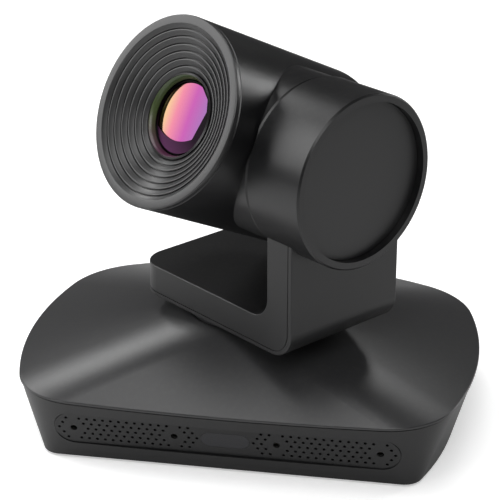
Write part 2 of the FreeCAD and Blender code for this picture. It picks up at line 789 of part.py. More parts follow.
def sound_holes():
    """Centres of the small holes: staggered rows that leave each microphone port clear."""
    between = 2 * size.port_inner
    spots = []
    for row in range(-2, 3):
        # outer rows come nearest to a port, the middle row stays furthest from it
        spaces = round(between / size.sound_pitch - 3.6) + abs(row)
        first = (between - spaces * size.sound_pitch) / 2
        height = row * size.row_pitch
        for side in (-1, 1):
            inner = size.port_inner
            outer = inner + between
            for k in range(spaces + 1):
                spots.append((side * (inner + first + k * size.sound_pitch), height))
            for k in range(2):
                spots.append((side * (inner - first - k * size.sound_pitch), height))
            spots.append((side * (outer + first), height))
    return spots


strip_plate = stadium(
    size.strip_reach, size.strip_radius - size.seat_gap, -size.strip_gauge, 0.0
)
strip_tools = [
    Part.makeCylinder(size.sound_radius, CLEAR, Vector(x, y, -CLEAR / 2)) for x, y in sound_holes()
]
strip_tools += [
    Part.makeCylinder(size.port_radius, CLEAR, Vector(x, 0, -CLEAR / 2)) for x in port_spots
]
strip_tools.append(stadium(size.pill_reach, size.pill_radius, -CLEAR / 2, CLEAR / 2))
strip = cut(
    "mic_grille",
    shaped("mic_grille_plate", strip_plate),
    shaped("mic_grille_holes", Part.makeCompound(strip_tools)),
)
keep("mic_grille", strip, strip_frame)

window = stadium(
    size.pill_reach, size.pill_radius - size.seat_gap / 2, -size.strip_gauge, 0.0
)
keep("infrared_window", shaped("infrared_window", window), strip_frame)

# the board lies against the back of the ledge that carries the strip
mic_board_top = -size.strip_gauge - size.housing_wall
board_reach = "strip_reach + strip_radius"
padded(
    "mic_board",
    rectangle(f"-({board_reach})", board_reach, "-strip_radius", "strip_radius"),
    "mic_board_gauge",
    strip_frame.multiply(lift(mic_board_top - size.mic_board_gauge)),
)
capsules = [
    disc(f"capsule_{i}", "capsule_radius", "capsule_height", shift(x, 0, mic_board_top))
    for i, x in enumerate(port_spots)
]
keep("mic_capsules", group("mic_capsules", capsules), strip_frame)
receiver = block("receiver", "6", "5", "1.6", shift(-3, -2.5, mic_board_top))
keep("infrared_receiver", receiver, strip_frame.multiply(receiver.Placement))

# ---------------------------------------------------------------------------------------------
# Base: boards, connector panel and sockets
# ---------------------------------------------------------------------------------------------

board_low = size.plate_gauge + size.board_height
board_back = size.board_front + size.board_depth
board_face = board_low + size.board_gauge
standoff_spots = [
    (side * (size.board_x - 5), y)
    for side in (-1, 1)
    for y in (size.board_front + 5, board_back - 5)
]
pillar_spots = [
    (side * (size.chassis_x - 4.5), y)
    for side in (-1, 1)
    for y in (-size.chassis_front + 4.5, size.chassis_back - 4.5)
]
# the board's tail runs under the sockets, up to the connector panel
tail_x = "panel_half - recess_wall - 2 * seat_gap"
tail_back = "panel_y - panel_gauge - seat_gap"
board_shape = [
    ("-board_x", "board_front"),
    ("board_x", "board_front"),
    ("board_x", "board_front + board_depth"),
    (tail_x, "board_front + board_depth"),
    (tail_x, tail_back),
    (f"-({tail_x})", tail_back),
    (f"-({tail_x})", "board_front + board_depth"),
    ("-board_x", "board_front + board_depth"),
]
peg_holes = [
    (f"{side} * (board_x - 5)", y, "peg_radius + seat_gap")
    for side in (-1, 1)
    for y in ("board_front + 5", "board_front + board_depth - 5")
]
pillar_holes = [
    (f"{side} * (chassis_x - 4.5)", "chassis_back - 4.5", "pillar_radius + 3 * seat_gap")
    for side in (-1, 1)
]
padded("main_board", board_shape, "board_gauge", lift(board_low), peg_holes + pillar_holes)


def standoff(name, x, y):
    """A snap-in standoff: a thick foot, a neck through the board and a thin head on it."""
    foot = disc(f"{name}_foot", "2 * peg_radius", "board_height", shift(x, y, size.plate_gauge))
    neck = disc(f"{name}_neck", "peg_radius", "board_gauge", shift(x, y, board_low))
    cap = disc(f"{name}_cap", "1.5 * peg_radius", "peg_radius", shift(x, y, board_face))
    return fused(name, foot, neck, cap)


standoffs = [standoff(f"standoff_{i}", x, y) for i, (x, y) in enumerate(standoff_spots)]
keep("board_standoffs", group("board_standoffs", standoffs), base_frame)
keep("processor", block("processor", "19", "19", "1.6", shift(32, 26, board_face)))
sink_base = block("sink_base", "26", "26", "2", shift(28.5, 22.5, board_face + 1.6))
fins = [
    block(f"fin_{i}", "1.2", "26", "8", shift(28.5 + 4.96 * i, 22.5, board_face + 3.6))
    for i in range(6)
]
keep("heat_sink", fused("heat_sink", sink_base, *fins))

# sockets stand in the panel's cut-outs: name, centre x, width, height, depth
socket_row = [
    ("power_jack", -33.0, 9.0, 10.8, 13.0),
    ("hdmi_socket", -13.0, 15.4, 6.4, 11.0),
    ("usb_socket", 10.0, 12.2, 11.0, 16.0),
    ("network_socket", 32.0, 16.4, 13.6, 15.0),
]
socket_low = board_face + 0.3
panel_face = size.panel_y


def socket_body(name, x, width, height, depth):
    """The socket's outer block, flush with the panel's outer face."""
    corner = shift(x - width / 2, panel_face - depth, socket_low)
    return block(name, str(width), str(depth), str(height), corner)


panel = Part.makeBox(
    2 * (size.panel_half - size.seat_gap),
    size.panel_gauge,
    size.panel_high - size.panel_low - 2 * size.seat_gap,
    Vector(
        -size.panel_half + size.seat_gap,
        size.panel_y - size.panel_gauge,
        size.panel_low + size.seat_gap,
    ),
)
for _, x, width, height, _ in socket_row:
    gap = size.seat_gap
    corner = Vector(x - width / 2 - gap, panel_face - CLEAR / 2, socket_low - gap)
    panel = panel.cut(Part.makeBox(width + 2 * gap, CLEAR, height + 2 * gap, corner))
keep("connector_panel", shaped("connector_panel", panel), base_frame)

backwards = Placement(Vector(), Rotation(X_AXIS, -90))


def middle(x, height):
    """A frame at the panel's face, Z pointing out of a socket of this height."""
    return shift(x, panel_face, socket_low + height / 2).multiply(backwards)


name, x, width, height, depth = socket_row[0]
jack = cut(
    name,
    socket_body(name + "_block", x, width, height, depth),
    disc("jack_hole", "3.2", "10", middle(x, height).multiply(lift(-9))),
)
keep(name, fused(name, jack, disc("jack_pin", "1", "9.5", middle(x, height).multiply(lift(-10)))))

name, x, width, height, depth = socket_row[1]
hollow = block("hdmi_hollow", "14", "9", "4.8", shift(x - 7, panel_face - 8, socket_low + 0.8))
tongue = block("hdmi_tongue", "11", "7.5", "1.4", shift(x - 5.5, panel_face - 8.5, socket_low + 2.5))
keep(name, fused(name, cut(name, socket_body(name + "_block", x, width, height, depth), hollow), tongue))

name, x, width, height, depth = socket_row[2]
hollow = block("usb_hollow", "9", "11", "8.2", shift(x - 4.5, panel_face - 10, socket_low + 1.4))
tongue = block("usb_tongue", "5.6", "8.5", "3.2", shift(x - 2.8, panel_face - 10.5, socket_low + 3.9))
keep(name, fused(name, cut(name, socket_body(name + "_block", x, width, height, depth), hollow), tongue))

name, x, width, height, depth = socket_row[3]
hollow = block("network_hollow", "11.9", "12", "8.4", shift(x - 5.95, panel_face - 11, socket_low + 3))
latch = block("network_latch", "6", "12", "2", shift(x - 3, panel_face - 11, socket_low + 1.2))
keep(name, cut(name, socket_body(name + "_block", x, width, height, depth), hollow, latch))

# ---------------------------------------------------------------------------------------------
# Gears
# ---------------------------------------------------------------------------------------------


def gear_outline(teeth, module, thinning, turn):
    """An involute gear as a closed polygon, turned so that a tooth's middle points that way."""
    pitch = teeth * module / 2
    base = pitch * math.cos(math.radians(20))
    tip = pitch + 0.9 * module
    root = pitch - 1.2 * module

    def involute(radius):
        pressure = math.acos(min(base / radius, 1.0))
        return math.tan(pressure) - pressure

    half = (math.pi * module / 2 - thinning) / 2 / pitch + involute(pitch)
    start = max(base, root + 0.05 * module)
    flank = [start + (tip - start) * k / 3 for k in range(4)]
    points = []
    for tooth in range(teeth):
        middle_turn = turn + 2 * math.pi * tooth / teeth
        rising = [(r, -(half - involute(r))) for r in flank]
        falling = [(r, half - involute(r)) for r in reversed(flank)]
        first = [(root, -(half - involute(start)) * 1.04)]
        last = [(root, (half - involute(start)) * 1.04)]
        for r, angle in first + rising + falling + last:
            points.append(
                Vector(r * math.cos(middle_turn + angle), r * math.sin(middle_turn + angle), 0)
            )
    return Part.Face(Part.makePolygon(points + [points[0]]))


def gear(name, teeth, module, width, bore, turn, frame):
    """A spur gear along its frame's Z, with a round bore."""
    blank = gear_outline(int(teeth), module, size.gear_backlash, turn).extrude(Vector(0, 0, width))
    blank = blank.cut(Part.makeCylinder(bore, 3 * width, Vector(0, 0, -width)))
    wheel = shaped(name, blank)
    wheel.Placement = frame
    return wheel


# ---------------------------------------------------------------------------------------------
# Pan stage
# ---------------------------------------------------------------------------------------------

bearing_low = size.chassis_height + size.chassis_gauge
bearing_high = bearing_low + size.pan_bearing_width
pan_gear_low = bearing_high + 2.5
pan_distance = size.pan_module * (size.pan_teeth + size.pan_pinion_teeth) / 2

chassis_plate = padded(
    "pan_chassis_plate",
    rectangle("-chassis_x", "chassis_x", "-chassis_front", "chassis_back"),
    "chassis_gauge",
    circles=[
        ("0", "0", "pan_bearing_bore + bearing_race + 0.6"),
        ("0", "pan_module * (pan_teeth + pan_pinion_teeth) / 2", "5.6"),
    ],
)
chassis_plate.Placement = lift(size.chassis_height)
collar = ring(
    "pan_chassis_collar", "pan_bearing_outer", "pan_bearing_outer + 3", "0", "pan_bearing_width"
)
collar.Placement = lift(bearing_low)
keep("pan_chassis", fused("pan_chassis", chassis_plate, collar))
pillar_height = "chassis_height - plate_gauge"
pillars = [
    disc(f"pillar_{i}", "pillar_radius", pillar_height, shift(x, y, size.plate_gauge))
    for i, (x, y) in enumerate(pillar_spots)
]
keep("chassis_pillars", group("chassis_pillars", pillars), base_frame)

race_outer = "pan_bearing_outer - bearing_race"
race_inner = "pan_bearing_bore + bearing_race"
ring(
    "pan_bearing_outer_ring",
    race_outer,
    "pan_bearing_outer",
    "0",
    "pan_bearing_width",
    lift(bearing_low),
)
ball_circle = (size.pan_bearing_bore + size.pan_bearing_outer) / 2
ball_seat = bearing_low + size.pan_bearing_width / 2
balls = []
for i in range(int(size.ball_count)):
    turn = 2 * math.pi * i / size.ball_count
    ball = doc.addObject("Part::Sphere", f"ball_{i}")
    ball.setExpression("Radius", bound(f"({race_outer} - ({race_inner})) / 2 - running_gap"))
    ball.Placement = shift(ball_circle * math.cos(turn), ball_circle * math.sin(turn), ball_seat)
    balls.append(ball)
keep("pan_bearing_balls", group("pan_bearing_balls", balls), base_frame)

# the motor hangs under the chassis by two ears
motor_top = shift(0, pan_distance, size.chassis_height)
motor_base = motor_top.multiply(lift(-size.pan_motor_length))
motor_can = disc("pan_motor_can", "pan_motor_radius", "pan_motor_length", motor_base)
motor_bore = disc("pan_motor_bore", "motor_shaft + running_gap", "pan_motor_length", motor_base)
ears = block(
    "pan_motor_ears",
    "2 * (pan_motor_radius + ear_reach)",
    "2 * ear_reach",
    "ear_gauge",
    motor_top.multiply(shift(-size.pan_motor_radius - size.ear_reach, -size.ear_reach, -size.ear_gauge)),
)
keep("pan_motor", cut("pan_motor", fused("pan_motor", motor_can, ears), motor_bore))

shaft_rise = pan_gear_low + size.gear_width + 1 - size.chassis_height
shaft_length = f"pan_motor_length + {shaft_rise}"
keep("pan_motor_shaft", disc("pan_motor_shaft", "motor_shaft", shaft_length, motor_base))
# the pinion has a gap facing the gear's tooth
pinion_turn = -math.pi / 2 + math.pi / size.pan_pinion_teeth
keep(
    "pan_pinion",
    gear(
        "pan_pinion",
        size.pan_pinion_teeth,
        size.pan_module,
        size.gear_width,
        size.motor_shaft,
        pinion_turn,
        shift(0, pan_distance, pan_gear_low),
    ),
)

# pan body: modelled about the pan axis, turned with the yoke
pan_gear = gear(
    "pan_gear_teeth",
    size.pan_teeth,
    size.pan_module,
    size.gear_width,
    size.pan_bearing_bore,
    math.pi / 2 - math.radians(size.pan_rest),
    lift(pan_gear_low),
)
# a collar under the gear keeps it off the bearing
collar_width = f"{pan_gear_low - bearing_high}"
gear_collar = ring("pan_gear_collar", "pan_bearing_bore", race_inner, "0", collar_width)
gear_collar.Placement = lift(bearing_high)
keep("pan_gear", fused("pan_gear", pan_gear, gear_collar), yoke_frame)
ring(
    "pan_bearing_inner_ring",
    "pan_bearing_bore",
    race_inner,
    "0",
    "pan_bearing_width",
    yoke_frame.multiply(lift(bearing_low)),
)
disc_radius = "crown_radius - crown_rim - disc_gap"
hub_low = size.chassis_height - size.hub_tail
shoulder = f"{pan_gear_low + size.gear_width - hub_low}"
disc_underside = crown_height - size.disc_sunk
disc_low = f"{disc_underside - hub_low}"
hub_top = f"{yoke_bottom - hub_low}"
hub_solid = lathe(
    "pan_hub_turned",
    [
        ("cable_bore", "0"),
        ("pan_bearing_bore", "0"),
        ("pan_bearing_bore", shoulder),
        ("pan_bearing_bore + 3", shoulder),
        ("pan_bearing_bore + 3", disc_low),
        (disc_radius, disc_low),
        (disc_radius, hub_top),
        ("cable_bore", hub_top),
    ],
)
hub_solid.Placement = lift(hub_low)
hub_screw_length = yoke_bottom - disc_underside + size.hub_screw_bite
hub_screw_spots = [
    (size.hub_screw_circle * math.cos(turn), size.hub_screw_circle * math.sin(turn))
    for turn in [math.radians(45 + 90 * i) for i in range(4)]
]


def screw_holes(name, spots, low, length):
    """Clearance holes for upright inner screws, as one tool."""
    holes = [
        disc(f"{name}_{i}", "small_shank + screw_gap", f"{length}", shift(x, y, low))
        for i, (x, y) in enumerate(spots)
    ]
    return group(name, holes)


hub_holes = screw_holes("hub_holes", hub_screw_spots, disc_underside - 1, hub_screw_length + 1.5)
keep("pan_hub", cut("pan_hub", hub_solid, hub_holes), yoke_frame)
screws(
    "hub_screws",
    [shift(x, y, disc_underside).multiply(upside_down) for x, y in hub_screw_spots],
    "small_shank",
    f"{hub_screw_length}",
    "small_head",
    "small_head_height",
    yoke_frame,
)
clip_frame = yoke_frame.multiply(lift(bearing_low - size.circlip_gauge - size.seat_gap))
ring("pan_circlip", "pan_bearing_bore", race_inner, "0", "circlip_gauge", clip_frame)

# ---------------------------------------------------------------------------------------------
# Yoke
# ---------------------------------------------------------------------------------------------


def l_solid(name, inset, rounded=False):
    """The L of plate and arm, drawn in by an inset on its underside and outer face."""
    body = doc.addObject("PartDesign::Body", name)
    low = f"edge_height + cover_rise + pan_gap + {inset}"
    top = "edge_height + cover_rise + pan_gap + yoke_plate"
    high = f"{top} + tilt_above_plate"
    sketch = profile(
        body,
        "XZ_Plane",
        [
            ("-yoke_left", low),
            (f"arm_outer - {inset}", low),
            (f"arm_outer - {inset}", high),
            ("arm_inner", high),
            ("arm_inner", top),
            ("-yoke_left", top),
        ],
    )
    pad = body.newObject("PartDesign::Pad", name + "_pad")
    pad.Profile = sketch
    pad.setExpression("Length", bound("yoke_front + yoke_back"))
    # the sketch's normal points forwards, so the pad runs from the back face to the front face
    sketch.AttachmentOffset = lift(-size.yoke_back)
    sketch.setExpression("AttachmentOffset.Base.z", bound("-yoke_back"))
    underside = yoke_bottom + value(inset)
    outer_x = size.arm_outer - value(inset)

    def under_arm(a, b):
        return all(near(end.x, outer_x) and near(end.z, underside) for end in (a, b))

    def inside_arm(a, b):
        return all(near(end.x, size.arm_inner) and near(end.z, plate_top) for end in (a, b))

    def free_corner(a, b):
        return all(near(end.x, -size.yoke_left) for end in (a, b)) and not near(a.z, b.z)

    def front_or_back(a, b):
        return near(a.y, b.y) and (near(a.y, -size.yoke_front) or near(a.y, size.yoke_back))

    round_edges(body, f"arm_foot_round - {inset}", under_arm)
    round_edges(body, "arm_fillet", inside_arm)
    round_edges(body, "plate_corner", free_corner)
    if rounded:
        round_edges(body, "edge_round", front_or_back)
    return body


saddle = disc(
    "saddle", "drum_radius + saddle_gap", "2 * arm_outer", lift(tilt_height).multiply(along_x)
)
whole_yoke = cut("whole_yoke", l_solid("yoke_outside", "0", rounded=True), saddle)
inner_yoke = common("inner_yoke", whole_yoke, l_solid("yoke_inside", "skin"))
hub_hole = disc("yoke_hub_hole", "hub_boss + seat_gap", "skin + 1", shift(0, 0, yoke_bottom - 1))
# a fine groove all round where the cover meets the frame
groove_core = padded(
    "groove_core",
    rectangle("-yoke_left + groove", "2 * arm_outer", "-yoke_front + groove", "yoke_back - groove"),
    "2 * tilt_above_plate",
)
round_edges(
    groove_core,
    "plate_corner - groove",
    lambda a, b: near(a.x, b.x) and a.x < 0 and not near(a.z, b.z),
)
groove_core.Placement = lift(yoke_bottom - 1)
seam_groove = cut(
    "seam_groove",
    l_solid("seam_outside", "(skin - groove / 2)"),
    l_solid("seam_inside", "(skin + groove / 2)"),
    groove_core,
)
keep("yoke_cover", cut("yoke_cover", whole_yoke, inner_yoke, hub_hole, seam_groove), yoke_frame)

plate_channel = block(
    "plate_channel",
    "yoke_left + arm_outer - skin - 2 * yoke_wall",
    "yoke_front + yoke_back - 2 * yoke_wall",
    "yoke_plate - skin - yoke_wall",
    shift(-size.yoke_left + size.yoke_wall, -size.yoke_front + size.yoke_wall, yoke_bottom + size.skin),
)
plate_corners = block(
    "plate_corner_left",
    "plate_corner",
    "yoke_front + yoke_back",
    "yoke_plate",
    shift(-size.yoke_left, -size.yoke_front, yoke_bottom),
)
plate_pocket = cut("plate_pocket", plate_channel, plate_corners)
hub_boss_post = disc("hub_boss_post", "hub_boss", "yoke_plate", shift(0, 0, yoke_bottom))
arm_channel = block(
    "arm_channel",
    "arm_outer - arm_inner - skin - yoke_wall",
    "yoke_front + yoke_back - 2 * yoke_wall",
    "yoke_plate + tilt_above_plate - drum_radius - arm_head - skin",
    shift(size.arm_inner + size.yoke_wall, -size.yoke_front + size.yoke_wall, yoke_bottom + size.skin),
)
pocket = cut("yoke_pocket", fused("yoke_pocket", plate_pocket, arm_channel), hub_boss_post)
boss_ring = common(
    "hub_boss_ring",
    disc("hub_boss_disc", "hub_boss", "skin + 0.5", shift(0, 0, yoke_bottom)),
    whole_yoke,
)
# the way for the cables: up the hub, sideways through its boss, along the plate, up the arm
arm_middle = (size.arm_inner + size.arm_outer - size.skin) / 2
hub_cable = disc("hub_cable", "cable_bore", "yoke_plate - yoke_wall", lift(yoke_bottom))
cable_way = block(
    "hub_cable_way",
    "hub_boss + skin",
    "cable_bore",
    "yoke_plate - yoke_wall - 1.5 * skin",
    shift(0, -size.cable_bore / 2, yoke_bottom + 1.5 * size.skin),
)
arm_cable = disc("arm_cable", "arm_bore", "tilt_above_plate", shift(arm_middle, 0, plate_top))
arm_top = tilt_height - size.drum_radius - size.arm_head
saddle_screw_spots = [(arm_middle, side * size.saddle_screw_reach) for side in (-1, 1)]
saddle_rise = tilt_height - math.sqrt(
    (size.drum_radius - size.drum_wall) ** 2 - size.saddle_screw_reach**2
)
# the screws stop just short of the drum's inner face
saddle_screw_length = saddle_rise - size.small_shank / 2 - arm_top
saddle_holes = screw_holes("saddle_holes", saddle_screw_spots, arm_top - 1, saddle_screw_length + 3)
frame_solid = cut("yoke_frame_body", inner_yoke, pocket)
frame_solid = fused("yoke_frame", frame_solid, boss_ring)
keep(
    "yoke_frame",
    cut(
        "yoke_frame",
        frame_solid,
        hub_cable,
        cable_way,
        arm_cable,
        seam_groove,
        hub_holes,
        saddle_holes,
    ),
    yoke_frame,
)
screws(
    "saddle_screws",
    [shift(x, y, arm_top).multiply(upside_down) for x, y in saddle_screw_spots],
    "small_shank",
    f"{saddle_screw_length}",
    "small_head",
    "small_head_height",
    yoke_frame,
)

# ---------------------------------------------------------------------------------------------
# Tilt drum and drive: heights run outwards along the tilt axis from the pan axis
# ---------------------------------------------------------------------------------------------

cap_outer = "drum_outer - cap_recess"
cap_inner = "drum_outer - cap_recess - cap_gauge"
seat_end = "drum_inner + drum_wall + tilt_bearing_width"
drum_shell = lathe(
    "drum_shell",
    [
        ("tilt_shaft_radius + 0.5", "drum_inner"),
        ("drum_radius - edge_chamfer / 2", "drum_inner"),
        ("drum_radius", "drum_inner + edge_chamfer / 2"),
        ("drum_radius", "drum_outer - edge_chamfer"),
        ("drum_radius - edge_chamfer", "drum_outer"),
        ("drum_rim", "drum_outer"),
        ("drum_rim", cap_inner),
        ("drum_rim - 1.6", cap_inner),
        ("drum_rim - 1.6", f"{cap_inner} - 1.2"),
        ("drum_radius - drum_wall", f"{cap_inner} - 2.2"),
        ("drum_radius - drum_wall", "drum_inner + drum_wall"),
        ("tilt_bearing_outer + 2.4", "drum_inner + drum_wall"),
        ("tilt_bearing_outer + 2.4", seat_end),
        ("tilt_bearing_outer", seat_end),
        ("tilt_bearing_outer", "drum_inner + drum_wall"),
        ("tilt_shaft_radius + 0.5", "drum_inner + drum_wall"),
    ],
)
drum_shell.Placement = along_x
drum_cable = disc(
    "drum_cable", "arm_bore", "drum_wall + 4", shift(arm_middle, 0, -size.drum_radius - 2)
)
drum_holes = screw_holes(
    "drum_holes", saddle_screw_spots, -size.drum_radius - 2, 2 + size.drum_wall + size.arm_head / 2
)
keep("tilt_housing", cut("tilt_housing", drum_shell, drum_cable, drum_holes), tilt_frame)
ring_points = [
    (0, cap_inner),
    ("drum_rim - seat_gap", cap_inner),
    ("drum_rim - seat_gap", cap_outer),
    (0, cap_outer),
]
lathe("tilt_end_cap", ring_points, drum_axis)

bearing_start = "drum_inner + drum_wall"
ring(
    "tilt_bearing_outer_ring",
    "tilt_bearing_outer - tilt_race",
    "tilt_bearing_outer",
    bearing_start,
    seat_end,
    drum_axis,
)
# the inner ring is a little narrower than its seat, so only the outer ring touches the drum
ring(
    "tilt_bearing_inner_ring",
    "tilt_shaft_radius",
    "tilt_shaft_radius + tilt_race",
    f"{bearing_start} + seat_gap",
    f"{seat_end} - seat_gap",
    shaft_axis,
)
tilt_gear_low = value(seat_end) + size.tilt_side_gap
tilt_gear_high = tilt_gear_low + size.tilt_gear_width
tilt_plate_low = tilt_gear_high + size.tilt_side_gap
tilt_distance = size.tilt_module * (size.tilt_teeth + size.tilt_pinion_teeth) / 2

# a plate across the drum carries the motor above the shaft, and lets the cables past below
plate_side = drum_axis.multiply(lift(tilt_plate_low))
tilt_motor_axis = drum_axis.multiply(shift(-tilt_distance, 0))
plate_disc = disc("tilt_plate_disc", "drum_radius - drum_wall", "tilt_plate_gauge", plate_side)
plate_bore = disc("tilt_plate_bore", "tilt_shaft_radius + running_gap", "tilt_plate_gauge", plate_side)
plate_motor_hole = disc(
    "tilt_plate_motor_hole",
    "2 * tilt_motor_shaft + 1",
    "tilt_plate_gauge",
    tilt_motor_axis.multiply(lift(tilt_plate_low)),
)
plate_cable = disc(
    "tilt_plate_cable",
    "arm_bore + 1",
    "tilt_plate_gauge",
    plate_side.multiply(shift((size.drum_radius + size.tilt_shaft_radius) / 2, 0)),
)
keep("tilt_chassis", cut("tilt_chassis", plate_disc, plate_bore, plate_motor_hole, plate_cable))
tilt_motor_low = tilt_plate_low + size.tilt_plate_gauge
motor_seat = tilt_motor_axis.multiply(lift(tilt_motor_low))
tilt_motor_can = disc("tilt_motor_can", "tilt_motor_radius", "tilt_motor_length", motor_seat)
tilt_motor_bore = disc(
    "tilt_motor_bore", "tilt_motor_shaft + running_gap", "tilt_motor_length - 1", motor_seat
)
keep("tilt_motor", cut("tilt_motor", tilt_motor_can, tilt_motor_bore))
rotor = disc(
    "tilt_motor_rotor",
    "tilt_motor_shaft",
    f"{tilt_motor_low - tilt_gear_low} + tilt_motor_length - 2",
    tilt_motor_axis.multiply(lift(tilt_gear_low)),
)
keep("tilt_motor_shaft", rotor)
keep(
    "tilt_pinion",
    gear(
        "tilt_pinion",
        size.tilt_pinion_teeth,
        size.tilt_module,
        size.tilt_gear_width,
        size.tilt_motor_shaft,
        math.pi / size.tilt_pinion_teeth,
        tilt_motor_axis.multiply(lift(tilt_gear_low)),
    ),
)
# the gear's tooth that meets the pinion points up at rest, in a frame that leans with the head
keep(
    "tilt_gear",
    gear(
        "tilt_gear",
        size.tilt_teeth,
        size.tilt_module,
        size.tilt_gear_width,
        size.tilt_shaft_radius,
        math.pi + math.radians(size.tilt_rest),
        shaft_axis.multiply(lift(tilt_gear_low)),
    ),
)

# ---------------------------------------------------------------------------------------------
# Head: shell and tilt shaft
# ---------------------------------------------------------------------------------------------

neck_end = "drum_inner - neck_gap"
barrel_inner = "barrel_radius - barrel_wall"


def rounded_tube(name, radius, back, front, back_round):
    """A solid turned bar whose back edge is rounded by a quarter circle."""
    body = doc.addObject("PartDesign::Body", name)
    sketch = body.newObject("Sketcher::SketchObject", name + "_sketch")
    sketch.AttachmentSupport = [(origin_plane(body, "XZ_Plane"), "")]
    sketch.MapMode = "FlatFace"
    far, low, high, curve = value(radius), value(back), value(front), value(back_round)
    corners = [
        Vector(0, low, 0),
        Vector(far - curve, low, 0),
        Vector(far, low + curve, 0),
        Vector(far, high, 0),
        Vector(0, high, 0),
    ]
    centre = Vector(far - curve, low + curve, 0)
    sketch.addGeometry(Part.LineSegment(corners[0], corners[1]), False)
    sketch.addGeometry(
        Part.ArcOfCircle(Part.Circle(centre, Z_AXIS, curve), -math.pi / 2, 0.0), False
    )
    for start, end in ((2, 3), (3, 4), (4, 0)):
        sketch.addGeometry(Part.LineSegment(corners[start], corners[end]), False)
    joins = [(0, 2, 1, 1), (1, 2, 2, 1), (2, 2, 3, 1), (3, 2, 4, 1), (4, 2, 0, 1)]
    for join in joins:
        sketch.addConstraint(Sketcher.Constraint("Coincident", *join))
    pin_point(sketch, 0, 1, "0", back)
    pin_point(sketch, 0, 2, f"{radius} - {back_round}", back)
    pin_point(sketch, 2, 1, radius, f"{back} + {back_round}")
    pin_point(sketch, 3, 1, radius, front)
    pin_point(sketch, 4, 1, "0", front)
    datum = sketch.addConstraint(Sketcher.Constraint("DistanceX", -1, 1, 1, 3, far - curve))
    sketch.setExpression(f"Constraints[{datum}]", bound(f"{radius} - {back_round}"))
    turned = body.newObject("PartDesign::Revolution", name + "_turned")
    turned.Profile = sketch
    turned.ReferenceAxis = (sketch, ["V_Axis"])
    turned.Angle = 360
    return body


barrel_solid = rounded_tube(
    "barrel_solid", "barrel_radius", "-barrel_back", "shell_front", "back_round"
)
barrel_solid.Placement = forwards
barrel_hollow = rounded_tube(
    "barrel_hollow",
    barrel_inner,
    "-barrel_back + barrel_wall",
    "barrel_front + 5",
    "back_round - barrel_wall",
)
barrel_hollow.Placement = forwards
neck_solid = lathe(
    "neck_solid",
    [
        (0, 0),
        ("neck_radius", 0),
        ("neck_radius", f"{neck_end} - edge_chamfer"),
        ("neck_radius - edge_chamfer", neck_end),
        (0, neck_end),
    ],
)
neck_solid.Placement = along_x
neck_hollow = disc("neck_hollow", "neck_radius - barrel_wall", f"{neck_end} - barrel_wall", along_x)
hood_seat = disc(
    "hood_seat",
    "hood_radius + hood_gap",
    "2 * hood_seat",
    forwards.multiply(lift(size.barrel_front - size.hood_seat)),
)
shaft_hole = disc(
    "shaft_hole",
    "tilt_shaft_radius",
    "4 * barrel_wall",
    along_x.multiply(lift(value(neck_end) - 2 * size.barrel_wall)),
)
front_edge = lathe(
    "barrel_front_edge",
    [
        ("barrel_radius - ring_chamfer", "shell_front"),
        ("barrel_radius", "shell_front - ring_chamfer"),
        ("barrel_radius + 2", "shell_front - ring_chamfer"),
        ("barrel_radius + 2", "shell_front + 1"),
        ("barrel_radius - ring_chamfer", "shell_front + 1"),
    ],
)
front_edge.Placement = forwards
head_solid = fused("head_solid", barrel_solid, neck_solid)
head_hollow = fused("head_hollow", barrel_hollow, neck_hollow, hood_seat)

flange_high = f"{neck_end} - barrel_wall"
flange_low = f"{neck_end} - barrel_wall - flange_gauge"
flange_radius = "tilt_shaft_radius + flange_reach"
clip_low = tilt_motor_low + size.running_gap
shaft_end = f"{clip_low + size.circlip_gauge}"
flange_turned = lathe(
    "tilt_shaft_turned",
    [
        ("tilt_shaft_bore", flange_low),
        (flange_radius, flange_low),
        (flange_radius, flange_high),
        ("tilt_shaft_radius", flange_high),
        ("tilt_shaft_radius", shaft_end),
        ("tilt_shaft_bore", shaft_end),
    ],
)
ring(
    "tilt_circlip",
    "tilt_shaft_radius",
    "tilt_shaft_radius + tilt_race",
    f"{clip_low}",
    f"{clip_low} + circlip_gauge",
    shaft_axis,
)
flange_screw_circle = (size.tilt_shaft_radius + value(flange_radius)) / 2
flange_screw_spots = [
    (flange_screw_circle * math.cos(turn), flange_screw_circle * math.sin(turn))
    for turn in [math.radians(45 + 90 * i) for i in range(4)]
]
flange_hole_length = size.flange_gauge + size.barrel_wall + 1
flange_holes = screw_holes(
    "flange_holes", flange_screw_spots, value(flange_low) - 1, flange_hole_length
)
keep("tilt_shaft", cut("tilt_shaft", flange_turned, flange_holes), shaft_axis)
neck_holes = group("neck_holes", [flange_holes])
neck_holes.Placement = along_x
keep(
    "head_housing",
    cut("head_housing", head_solid, head_hollow, shaft_hole, front_edge, neck_holes),
    head_frame,
)
screws(
    "flange_screws",
    [shift(x, y, value(flange_low)).multiply(upside_down) for x, y in flange_screw_spots],
    "small_shank",
    "flange_gauge + 0.8 * barrel_wall",
    "small_head",
    "small_head_height",
    shaft_axis,
)

# ---------------------------------------------------------------------------------------------
# Head: hood, lens and camera; heights run forwards along the optical axis from the tilt axis
# ---------------------------------------------------------------------------------------------


